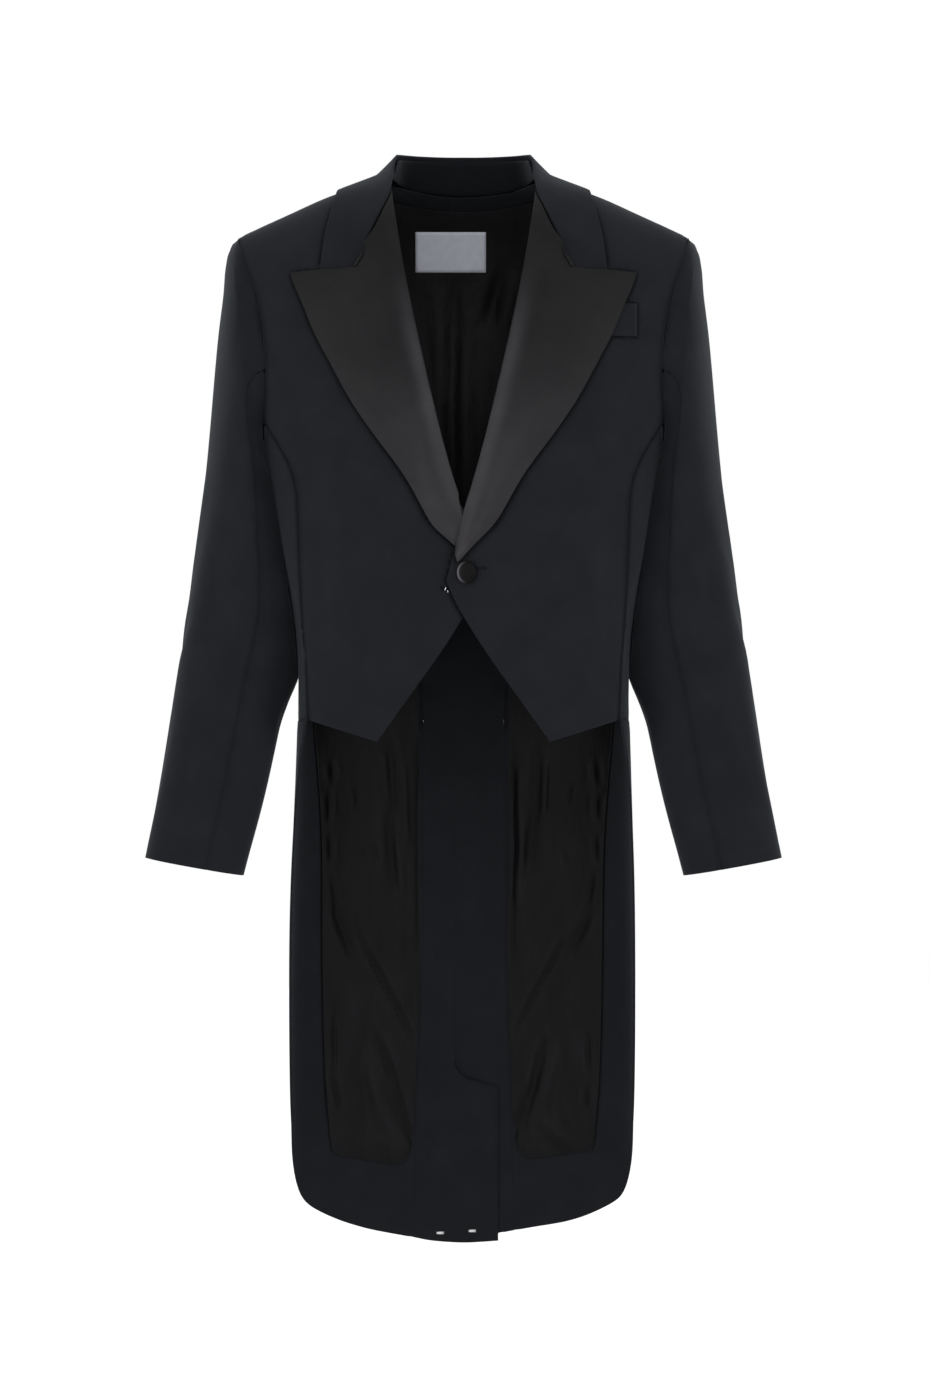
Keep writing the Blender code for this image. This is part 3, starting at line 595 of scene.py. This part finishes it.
def add_uv(shape, out_of):
    """Lays the weave on the piece in metres: across is level round it, and up is its height."""
    layer = shape.loops.layers.uv.new("weave")
    for face in shape.faces:
        out = out_of(face.calc_center_median() / MM)
        level = Vector((-out.y, out.x, 0))
        for loop in face.loops:
            place = loop.vert.co
            loop[layer].uv = (place.dot(level), place.z)


def sewn(corner, edge, out, tree):
    """Move that closes a seam under the cloth and leaves a narrow groove outside."""
    near, _, _, gap = tree.find_nearest(corner.co, SEAM_REACH * MM)
    if near is None:
        return Vector()
    share = ((edge - EDGE_FROM) / (1 - EDGE_FROM)) ** 2
    outside = corner.normal.dot(out) > 0
    closer = gap / 2 - SEAM_GROOVE * MM if outside else gap / 2 + SEAM_OVERLAP * MM
    move = (near - corner.co).normalized() * max(0, closer)
    if outside:
        move -= out * SEAM_TUCK * MM
    return move * share


def hugged(corner, tree):
    """Move that lays a sleeve against the body where it hangs beside it."""
    near, _, _, gap = tree.find_nearest(corner.co, HUG_REACH * MM)
    if near is None or gap < HUG_REST * MM:
        return Vector()
    fade = ease((HUG_FROM - corner.co.z / MM) / (HUG_FROM - HUG_TO))
    shift = min(HUG_SHIFT * ease(1 - gap / HUG_REACH / MM), gap / MM - HUG_REST) * fade
    return (near - corner.co).normalized() * shift * MM


def outline_of(names):
    """Places along the outlines of CAD nodes, to be searched as seen from the front."""
    places = []
    for name in names:
        shape = bmesh.new()
        shape.from_mesh(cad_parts[name].data)
        bmesh.ops.remove_doubles(shape, verts=shape.verts[:], dist=WELD * MM)
        for edge in shape.edges:
            if edge.is_manifold and edge.calc_face_angle() > radians(OUTLINE_ANGLE):
                first, last = (corner.co for corner in edge.verts)
                count = int((last - first).length / MM) + 1
                places.extend(first.lerp(last, number / count) for number in range(count + 1))
        shape.free()
    tree = KDTree(len(places))
    for number, place in enumerate(places):
        tree.insert(Vector((place.x, 0, place.z)), number)
    tree.balance()
    return tree, places


def lapped(point, outline):
    """How much a place lies beside the edge of a piece that laps over it, from 0 to 1; it masks the painted
    shadow there.
    """
    tree, places = outline
    _, number, away = tree.find(Vector((point.x, 0, point.z)) * MM)
    if abs(places[number].y / MM - point.y) > LAP_REACH:
        return 0.0
    return exp(-((away / MM / LAP_WIDTH) ** 2))


def dress(node, finish, folds=(), out_of=body_out, seams=(), body=(), over=(), extra=None, reshape=None,
          tone=None, seam_shade=SEAM_SHADE, puff=0.0, levels=2, outlined=True):
    """Shell of cloth on a CAD node's form, with its folds, meeting the pieces that it is sewn to."""
    mesh = grown(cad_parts[node].data, levels, outlined)
    mesh.name = "coat_" + node
    shape = bmesh.new()
    shape.from_mesh(mesh)
    shape.normal_update()
    rim = shape.verts.layers.float.get("rim")
    # Per-corner factor on the colour that holds painted shade and painted highlight
    shade = shape.verts.layers.float.new("shade")
    seam_trees = [tree_of([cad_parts[name].data for name in group]) for group in seams]
    body_tree = tree_of(body) if body else None
    outline = outline_of(over) if over else None
    moves = []
    for corner in shape.verts:
        point = corner.co / MM
        out = out_of(point)
        edge = corner[rim]
        height = relief(folds, point, out)
        # Painted highlight and shade from the tone function, as on the lapels and the button
        corner[shade] = tone(point) if tone else 1.0
        # Linings: painted shade in the folds' troughs and painted light on their ridges, then the lining is
        # puffed out
        if puff:
            corner[shade] = max(DARKEST_FOLD, 1 + FOLD_SHADE * min(FOLD_LIGHT, height))
            height += puff * (1 - edge)
        # Painted shade on the inside of the coat
        if seams and corner.normal.dot(out) < 0:
            corner[shade] -= INSIDE_SHADE
        if extra:
            height += extra(point)
        shift = reshape(point) if reshape else Vector()
        # Painted shadow beside the edge of a piece that laps over this one, over a shallow trough
        if outline:
            lap = lapped(point + shift, outline)
            height -= LAP_DEPTH * lap
            corner[shade] -= LAP_SHADE * lap
        move = (out * height + shift) * MM
        if body_tree:
            move += hugged(corner, body_tree) * (1 - edge)
        # Seams close, and painted shade darkens the cloth along them
        for tree in seam_trees if edge > EDGE_FROM else ():
            closing = sewn(corner, edge, out, tree)
            move += closing
            if closing.length > 0:
                corner[shade] = min(corner[shade], 1 - seam_shade * edge * edge)
        moves.append(move)
    for corner, move in zip(shape.verts, moves):
        corner.co += move
    add_uv(shape, out_of)
    shape.to_mesh(mesh)
    shape.free()
    mesh.materials.clear()
    mesh.materials.append(finish)
    mesh.shade_smooth()
    mesh.set_sharp_from_angle(angle=radians(SHARP_ANGLE))
    piece = place(mesh, SLOTS[finish.name])
    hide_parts(node)
    return piece


def place(mesh, slot):
    """Piece of the coat from a finished mesh."""
    piece = bpy.data.objects.new(mesh.name, mesh)
    bpy.context.scene.collection.objects.link(piece)
    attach(piece, "root")
    return piece


def facing(piece):
    """Finds the place on a piece that is seen from the front at X and Z."""
    tree = BVHTree.FromPolygons([corner.co.copy() for corner in piece.data.vertices],
                                [list(face.vertices) for face in piece.data.polygons])

    def find(x, z, proud=0.0):
        spot = tree.ray_cast(Vector((x * MM, -1, z * MM)), Vector((0, 1, 0)))[0]
        return spot + Vector((0, -proud * MM, 0))

    return find


def add_stitch(shape, start, end, radius):
    """One short thread between two places, thickest in its middle."""
    run = end - start
    turn = run.to_track_quat("Z", "Y").to_matrix().to_4x4()
    size = Matrix.Diagonal((radius * MM, radius * MM, run.length / 2, 1))
    middle = Matrix.Translation((start + end) / 2)
    bmesh.ops.create_uvsphere(shape, u_segments=8, v_segments=6, radius=1, matrix=middle @ turn @ size)


def sewing(name, shape, finish):
    """Piece of the coat from threads."""
    mesh = bpy.data.meshes.new("coat_" + name)
    shape.to_mesh(mesh)
    shape.free()
    mesh.materials.append(finish)
    mesh.shade_smooth()
    return place(mesh, SLOTS[finish.name])


def add_buttonhole(front, finish):
    """Two rows of stitches along the buttonhole, and a fan of them round its eyelet."""
    find = facing(front)
    shape = bmesh.new()
    count = int((HOLE_END.x - HOLE_START.x) / HOLE_STEP)
    for number in range(count + 1):
        share = number / count
        x = mix(HOLE_START.x, HOLE_END.x, share)
        z = mix(HOLE_START.z, HOLE_END.z, share)
        for side in (1, -1):
            add_stitch(shape, find(x, z + side * HOLE_SLIT, HOLE_PROUD),
                       find(x + HOLE_LEAN, z + side * (HOLE_SLIT + HOLE_STITCH), HOLE_PROUD), THREAD)
    for number in range(HOLE_FAN):
        angle = mix(-0.8 * pi, 0.8 * pi, number / (HOLE_FAN - 1))
        inner = HOLE_EYE
        outer = HOLE_EYE + HOLE_STITCH
        middle = HOLE_END.x + HOLE_EYE
        add_stitch(shape, find(middle + inner * cos(angle), HOLE_END.z + inner * sin(angle), HOLE_PROUD),
                   find(middle + outer * cos(angle), HOLE_END.z + outer * sin(angle), HOLE_PROUD), THREAD)
    return sewing("buttonhole", shape, finish)


def add_tack(name, back, middle, finish):
    """Bar of white threads laid side by side, that holds the vent together."""
    find = facing(back)
    shape = bmesh.new()
    for number in range(TACK_THREADS):
        lean = 0.3 * (number % 2)
        z = middle.z + (number - (TACK_THREADS - 1) / 2) * TACK_STEP
        add_stitch(shape, find(middle.x - TACK_HALF + lean, z, TACK_PROUD),
                   find(middle.x + TACK_HALF, z + lean, TACK_PROUD), TACK_RADIUS)
    return sewing(name, shape, finish)


def add_label_stitches(label_piece, finish):
    """Small upright stitches that hold the label at its two ends."""
    find = facing(label_piece)
    low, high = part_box("neck_label")
    shape = bmesh.new()
    for x in (low[0] / MM + LABEL_INSET, high[0] / MM - LABEL_INSET):
        z = low[2] / MM + 2
        while z < high[2] / MM - 3.5:
            add_stitch(shape, find(x, z, LABEL_PROUD), find(x, z + LABEL_STITCH, LABEL_PROUD), LABEL_THREAD)
            z += LABEL_STEP
    return sewing("label_stitches", shape, finish)


def add_hook_wraps(front, finish):
    """Dark stitches that hold the hook's wire down and leave two spots of it bare."""
    find = facing(front)
    shape = bmesh.new()
    for first, last in HOOK_WRAPS:
        for low, high in zip(HOOK_BENDS[first:last], HOOK_BENDS[first + 1:last + 1]):
            run = Vector((high.x - low.x, high.z - low.z))
            level = run.normalized()
            count = int(run.length / HOOK_STEP) + 1
            for number in range(count):
                x = low.x + run.x * number / count
                z = low.z + run.y * number / count
                aside = level * WRAP_HALF
                add_stitch(shape, find(x - aside.y, z + aside.x, WRAP_PROUD),
                           find(x + aside.y, z - aside.x, WRAP_PROUD), WRAP_RADIUS)
    return sewing("hook_stitches", shape, finish)


def add_hook(front, finish):
    """Hook of bent wire that shows beside the front edge."""
    find = facing(front)
    curve = bpy.data.curves.new("coat_front_hook", "CURVE")
    curve.dimensions = "3D"
    curve.bevel_depth = HOOK_WIRE * MM
    curve.bevel_resolution = 4
    curve.use_fill_caps = True
    line = curve.splines.new("BEZIER")
    line.bezier_points.add(len(HOOK_BENDS) - 1)
    for point, bend in zip(line.bezier_points, HOOK_BENDS):
        point.co = find(bend.x, bend.z, bend.proud)
        point.handle_left_type = "AUTO"
        point.handle_right_type = "AUTO"
    wire = bpy.data.objects.new("hook_wire", curve)
    bpy.context.scene.collection.objects.link(wire)
    bpy.context.view_layer.update()
    mesh = bpy.data.meshes.new_from_object(wire.evaluated_get(bpy.context.evaluated_depsgraph_get()))
    bpy.data.objects.remove(wire)
    mesh.name = "coat_front_hook"
    mesh.materials.clear()
    mesh.materials.append(finish)
    mesh.shade_smooth()
    piece = place(mesh, SLOTS[finish.name])
    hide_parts("front_hook")
    return piece


class Finish:
    """Short way to build a material's nodes."""

    def __init__(self, name):
        self.material = bpy.data.materials.new(name)
        self.material.use_nodes = True
        self.tree = self.material.node_tree
        self.shader = self.tree.nodes["Principled BSDF"]

    def set(self, **values):
        for key, value in values.items():
            self.shader.inputs[key.replace("_", " ")].default_value = value

    def node(self, kind, **values):
        made = self.tree.nodes.new(kind)
        for key, value in values.items():
            setattr(made, key, value)
        return made

    def link(self, start, end):
        self.tree.links.new(start, end)

    def weave(self):
        return self.node("ShaderNodeUVMap", uv_map="weave").outputs["UV"]

    def place(self):
        return self.node("ShaderNodeTexCoord").outputs["Object"]

    def stretched(self, source, scale, turn=0.0):
        made = self.node("ShaderNodeMapping")
        made.inputs["Scale"].default_value = scale
        made.inputs["Rotation"].default_value = (0, 0, turn)
        self.link(source, made.inputs["Vector"])
        return made.outputs["Vector"]

    def noise(self, source, scale, detail=3.0, roughness=0.55):
        made = self.node("ShaderNodeTexNoise")
        made.inputs["Scale"].default_value = scale
        made.inputs["Detail"].default_value = detail
        made.inputs["Roughness"].default_value = roughness
        self.link(source, made.inputs["Vector"])
        return made.outputs["Fac"]

    def wave(self, source, scale, distortion=0.0):
        made = self.node("ShaderNodeTexWave")
        made.inputs["Scale"].default_value = scale
        made.inputs["Distortion"].default_value = distortion
        made.inputs["Detail"].default_value = 1.0
        made.inputs["Detail Scale"].default_value = 2.0
        self.link(source, made.inputs["Vector"])
        return made.outputs["Fac"]

    def sum(self, first, second, first_share, second_share):
        """Sum of two values, each times its own share."""
        made = self.node("ShaderNodeMath", operation="MULTIPLY_ADD")
        self.link(first, made.inputs[0])
        made.inputs[1].default_value = first_share
        scaled = self.node("ShaderNodeMath", operation="MULTIPLY")
        self.link(second, scaled.inputs[0])
        scaled.inputs[1].default_value = second_share
        self.link(scaled.outputs[0], made.inputs[2])
        return made.outputs[0]

    def ramp(self, source, stops):
        made = self.node("ShaderNodeValToRGB")
        band = made.color_ramp
        band.elements[0].position, band.elements[0].color = stops[0][0], (*stops[0][1], 1)
        band.elements[1].position, band.elements[1].color = stops[-1][0], (*stops[-1][1], 1)
        for at, colour in stops[1:-1]:
            band.elements.new(at).color = (*colour, 1)
        self.link(source, made.inputs["Fac"])
        return made.outputs["Color"]

    def range(self, source, low, high):
        made = self.node("ShaderNodeMapRange")
        made.inputs["To Min"].default_value = low
        made.inputs["To Max"].default_value = high
        self.link(source, made.inputs["Value"])
        return made.outputs["Result"]

    def bump(self, source, distance, strength=1.0, before=None):
        made = self.node("ShaderNodeBump")
        made.inputs["Distance"].default_value = distance
        made.inputs["Strength"].default_value = strength
        self.link(source, made.inputs["Height"])
        if before is not None:
            self.link(before, made.inputs["Normal"])
        return made.outputs["Normal"]

    def shaded(self, colour):
        """Scales a colour by the shade attribute: painted shade in the seams and beside the edges that lap
        over the cloth, and painted highlight where the factor is above 1.
        """
        shade = self.node("ShaderNodeAttribute", attribute_name="shade").outputs["Fac"]
        made = self.node("ShaderNodeVectorMath", operation="SCALE")
        self.link(colour, made.inputs["Vector"])
        self.link(shade, made.inputs["Scale"])
        return made.outputs["Vector"]

    def end(self, colour=None, roughness=None, normal=None):
        for source, key in ((colour, "Base Color"), (roughness, "Roughness"), (normal, "Normal")):
            if source is not None:
                self.link(source, self.shader.inputs[key])
        return self.material


def cloth_grain(finish, threads):
    """Two crossing sets of fine threads on the weave coordinates."""
    weave = finish.weave()
    first = finish.wave(finish.stretched(weave, (1, 1, 1), radians(32)), threads, 0.6)
    second = finish.wave(finish.stretched(weave, (1, 1, 1), radians(-58)), threads * 0.8, 0.6)
    return finish.sum(first, second, 0.6, 0.4)


def wool(name, tone):
    """Worsted wool; the tone is how light it is next to the coat's own."""
    finish = Finish(name)
    finish.set(Specular_IOR_Level=0.07, Sheen_Weight=0.05, Sheen_Roughness=0.5,
               Sheen_Tint=(0.8, 0.88, 1, 1))
    grain = cloth_grain(finish, 560)
    fuzz = finish.noise(finish.place(), 900, 2)
    cloud = finish.noise(finish.place(), 28, 4)
    mottle = finish.sum(cloud, fuzz, 0.62, 0.38)
    stops = [(at, [part * tone for part in shade]) for at, shade in WOOL_SHADES]
    colour = finish.shaded(finish.ramp(mottle, stops))
    rough = finish.range(fuzz, 0.74, 0.92)
    soft = finish.bump(cloud, 0.0006, 0.35)
    return finish.end(colour, rough, finish.bump(finish.sum(grain, fuzz, 0.6, 0.4), 0.00012, 0.6, soft))


def satin(name, tone, gloss):
    """Ribbed silk; the tone is how light it is next to the lapels' own."""
    finish = Finish(name)
    finish.set(Specular_IOR_Level=gloss, Anisotropic=0.3, Specular_Tint=(0.98, 0.97, 1.0, 1))
    rib = finish.wave(finish.stretched(finish.weave(), (1, 1, 1), radians(90)), 620, 0.4)
    cloud = finish.noise(finish.place(), 34, 4)
    slub = finish.noise(finish.stretched(finish.weave(), (160, 900, 1)), 1.0, 3)
    stops = [(at, [part * tone for part in shade]) for at, shade in SATIN_SHADES]
    colour = finish.shaded(finish.ramp(finish.sum(cloud, slub, 0.7, 0.3), stops))
    rough = finish.range(finish.sum(cloud, slub, 0.5, 0.5), 0.32, 0.48)
    soft = finish.bump(cloud, 0.0009, 0.45)
    return finish.end(colour, rough, finish.bump(finish.sum(rib, slub, 0.5, 0.5), 0.00006, 0.5, soft))


def lining(name, dark, light, gloss):
    """Thin smooth lining that puckers, between its darkest and its lightest colour."""
    finish = Finish(name)
    finish.set(Specular_IOR_Level=gloss, Specular_Tint=(1, 0.97, 1, 1))
    pucker = finish.noise(finish.stretched(finish.weave(), (42, 15, 1)), 1.0, 4, 0.6)
    thread = finish.wave(finish.stretched(finish.weave(), (1, 1, 1), radians(4)), 900, 0.3)
    colour = finish.shaded(finish.ramp(pucker, [(0.3, dark), (0.7, light)]))
    rough = finish.range(pucker, 0.36, 0.52)
    soft = finish.bump(pucker, 0.0032, 0.42)
    return finish.end(colour, rough, finish.bump(thread, 0.00003, 0.4, soft))


def label():
    """Bare ribbed tape, a little soiled."""
    finish = Finish("label_tape")
    finish.set(Specular_IOR_Level=0.3)
    rib = finish.wave(finish.stretched(finish.weave(), (1, 1, 1), radians(90)), 460, 0.2)
    soil = finish.noise(finish.place(), 140, 4)
    colour = finish.ramp(finish.sum(rib, soil, 0.4, 0.6),
                         [(0.25, (0.39, 0.405, 0.455)), (0.75, (0.50, 0.515, 0.575))])
    return finish.end(colour, finish.range(soil, 0.5, 0.68), finish.bump(rib, 0.00008, 0.7))


def metal():
    """Bright wire, finely drawn along its length."""
    finish = Finish("plated_wire")
    finish.set(Metallic=1.0)
    brushed = finish.noise(finish.stretched(finish.place(), (900, 900, 6000)), 1.0, 3)
    colour = finish.ramp(brushed, [(0.2, (0.62, 0.62, 0.64)), (0.8, (0.86, 0.86, 0.88))])
    return finish.end(colour, finish.range(brushed, 0.16, 0.34), finish.bump(brushed, 0.00002, 0.4))


def thread(name, dark, light, gloss):
    """Twisted sewing thread."""
    finish = Finish(name)
    finish.set(Specular_IOR_Level=gloss, Sheen_Weight=gloss / 2)
    twist = finish.wave(finish.stretched(finish.place(), (1, 1, 1), radians(38)), 900, 0.8)
    colour = finish.ramp(twist, [(0.1, dark), (0.9, light)])
    return finish.end(colour, finish.range(twist, 0.55, 0.8), finish.bump(twist, 0.0001, 0.6))


def floor_paint():
    finish = Finish("floor_paint")
    finish.set(Specular_IOR_Level=0.1, Emission_Color=(1, 1, 1, 1), Emission_Strength=0.16)
    soft = finish.noise(finish.place(), 3.0, 4)
    colour = finish.ramp(soft, [(0.3, (0.92, 0.92, 0.925)), (0.7, (0.94, 0.94, 0.94))])
    return finish.end(colour, finish.range(soft, 0.7, 0.85), finish.bump(soft, 0.0005, 0.1))


def add_cloth(paint):
    """Every cut piece of the coat in its own finish. The sleeves come after the body that they touch."""
    cloth = {}
    body = ("front", "side", "back", "tail")
    reshapes = {"front": throat, "tail": tail_corner}
    for word, other in (("left", "right"), ("right", "left")):
        sleeve = (f"sleeve_top_{word}", f"sleeve_under_{word}")
        seams = {
            "front": ((f"side_{word}", f"back_{word}"), sleeve),
            "side": ((f"front_{word}", f"back_{word}", f"tail_{word}"), sleeve),
            "back": ((f"side_{word}", f"front_{word}", f"tail_{word}", f"back_{other}"), sleeve),
            "tail": ((f"side_{word}", f"back_{word}", f"front_{word}"),),
        }
        left = word == "left"
        over = {"front": (f"lapel_{word}", "collar_fall", "pocket_welt" if left else "front_left")}
        if not left:
            over["lapel_right"] = ("lapel_left",)
        for part in body:
            name = f"{part}_{word}"
            front = part == "front"
            cloth[name] = dress(name, paint["wool"], BODY_FOLDS, body_out, seams[part],
                                over=over.get(part, ()), extra=roll_back if front else None,
                                reshape=reshapes.get(part), levels=3 if front else 2,
                                seam_shade=SEAM_SHADE if part in ("front", "side") else BACK_SHADE)
        arm = (f"front_{word}", f"side_{word}", f"back_{word}")
        for part, mate in (("top", "under"), ("under", "top")):
            name = f"sleeve_{part}_{word}"
            cloth[name] = dress(name, paint["wool"], SLEEVE_FOLDS[word], arm_out,
                                (arm, (f"sleeve_{mate}_{word}",)), [cloth[piece].data for piece in arm],
                                seam_shade=SLEEVE_SHADE)
        name = f"lapel_{word}"
        cloth[name] = dress(name, paint["satin"], extra=roll_back, over=over.get(name, ()),
                            reshape=throat if left else lapel_tip, tone=lapel_painted_highlight, levels=3)
        name = f"lining_tail_{word}"
        cloth[name] = dress(name, paint["tail_lining"], LINING_FOLDS[word], forward, reshape=tail_corner,
                            puff=LINING_PUFF, levels=3)
    cloth["collar_fall"] = dress("collar_fall", paint["wool"], reshape=collar_end, levels=3)
    cloth["collar_stand"] = dress("collar_stand", paint["stand"], reshape=collar_lift)
    cloth["lining_back"] = dress("lining_back", paint["lining"], BACK_LINING_FOLDS, forward,
                                 puff=LINING_PUFF, levels=3)
    cloth["pocket_welt"] = dress("pocket_welt", paint["wool"])
    cloth["neck_label"] = dress("neck_label", paint["label"], out_of=forward, extra=label_rise)
    dress("button", paint["button"], out_of=forward, reshape=button_turn, tone=button_painted_light, levels=3,
          outlined=False)
    return cloth


def add_sewing(cloth, paint):
    """Buttonhole, thread bars, label stitches and the hook with its stitches."""
    add_buttonhole(cloth["front_left"], paint["dark_thread"])
    add_tack("tack_left", cloth["back_right"], TACKS[0], paint["white_thread"])
    add_tack("tack_right", cloth["back_right"], TACKS[1], paint["white_thread"])
    add_label_stitches(cloth["neck_label"], paint["label_thread"])
    add_hook(cloth["front_right"], paint["metal"])
    add_hook_wraps(cloth["front_right"], paint["dark_thread"])


def add_stage(paint):
    """Floor and even pale surroundings."""
    bpy.ops.mesh.primitive_circle_add(vertices=96, radius=FLOOR_RADIUS, fill_type="NGON",
                                      location=(0, 0, FLOOR_Z))
    floor = bpy.context.object
    floor.name = "studio_floor"
    floor.data.materials.append(paint["floor"])
    world = bpy.data.worlds.new("studio")
    bpy.context.scene.world = world
    world.use_nodes = True
    world.node_tree.nodes["Background"].inputs["Color"].default_value = (1, 1, 1, 1)
    world.node_tree.nodes["Background"].inputs["Strength"].default_value = 1.0
    bpy.context.scene.view_settings.view_transform = "Standard"


def add_light(name, place, aim, size, power):
    """Soft studio light that is aimed at a place."""
    light = bpy.data.lights.new(name, "AREA")
    light.shape = "RECTANGLE"
    light.size, light.size_y = size
    light.energy = power
    lamp = bpy.data.objects.new(name, light)
    bpy.context.scene.collection.objects.link(lamp)
    lamp.location = place
    lamp.rotation_euler = (Vector(aim) - Vector(place)).to_track_quat("-Z", "Y").to_euler()
    return lamp


def add_camera():
    """Camera at the photograph's own angle, with no depth of field."""
    camera = bpy.data.cameras.new("camera")
    camera.sensor_fit = "VERTICAL"
    camera.sensor_height = SENSOR
    camera.lens = LENS
    holder = bpy.data.objects.new("camera", camera)
    bpy.context.scene.collection.objects.link(holder)
    holder.location = CAMERA
    holder.rotation_euler = (pi / 2, 0, 0)
    bpy.context.scene.camera = holder


def main():
    paint = {
        "wool": wool("worsted", 0.8),
        # Darker copy of the wool as painted shade inside the collar stand
        "stand": wool("collar_wool_painted_shade", 0.3),
        "satin": satin("lapel_silk", 1.0, 0.1),
        "button": satin("button_silk", 0.3, 0.06),
        "lining": lining("back_lining", (0.0022, 0.0021, 0.0026), (0.0040, 0.0038, 0.0046), 0.09),
        "tail_lining": lining("tail_lining", (0.0012, 0.0012, 0.0015), (0.0030, 0.0030, 0.0035), 0.07),
        "label": label(),
        "metal": metal(),
        "dark_thread": thread("dark_thread", (0.0015, 0.0015, 0.002), (0.005, 0.005, 0.006), 0.03),
        "white_thread": thread("white_thread", (0.40, 0.40, 0.40), (0.68, 0.68, 0.67), 0.2),
        "label_thread": thread("label_thread", (0.14, 0.145, 0.17), (0.30, 0.305, 0.35), 0.25),
        "floor": floor_paint(),
    }
    cloth = add_cloth(paint)
    add_sewing(cloth, paint)
    add_stage(paint)
    add_light("key", (-1.6, -3.2, 1.2), (0, 0, -0.45), (1.6, 2.2), 14)
    add_light("fill", (1.7, -3.2, 1.0), (0, 0, -0.5), (1.6, 2.2), 8)
    add_light("side_left", (-2.1, -1.7, -0.1), (0, 0, -0.3), (0.7, 1.6), 12)
    add_light("side_right", (2.1, -1.7, -0.1), (0, 0, -0.3), (0.7, 1.6), 12)
    add_light("front", (0.15, -5.6, -0.6), (0, 0, -0.4), (1.4, 0.9), 40)
    add_camera()


main()
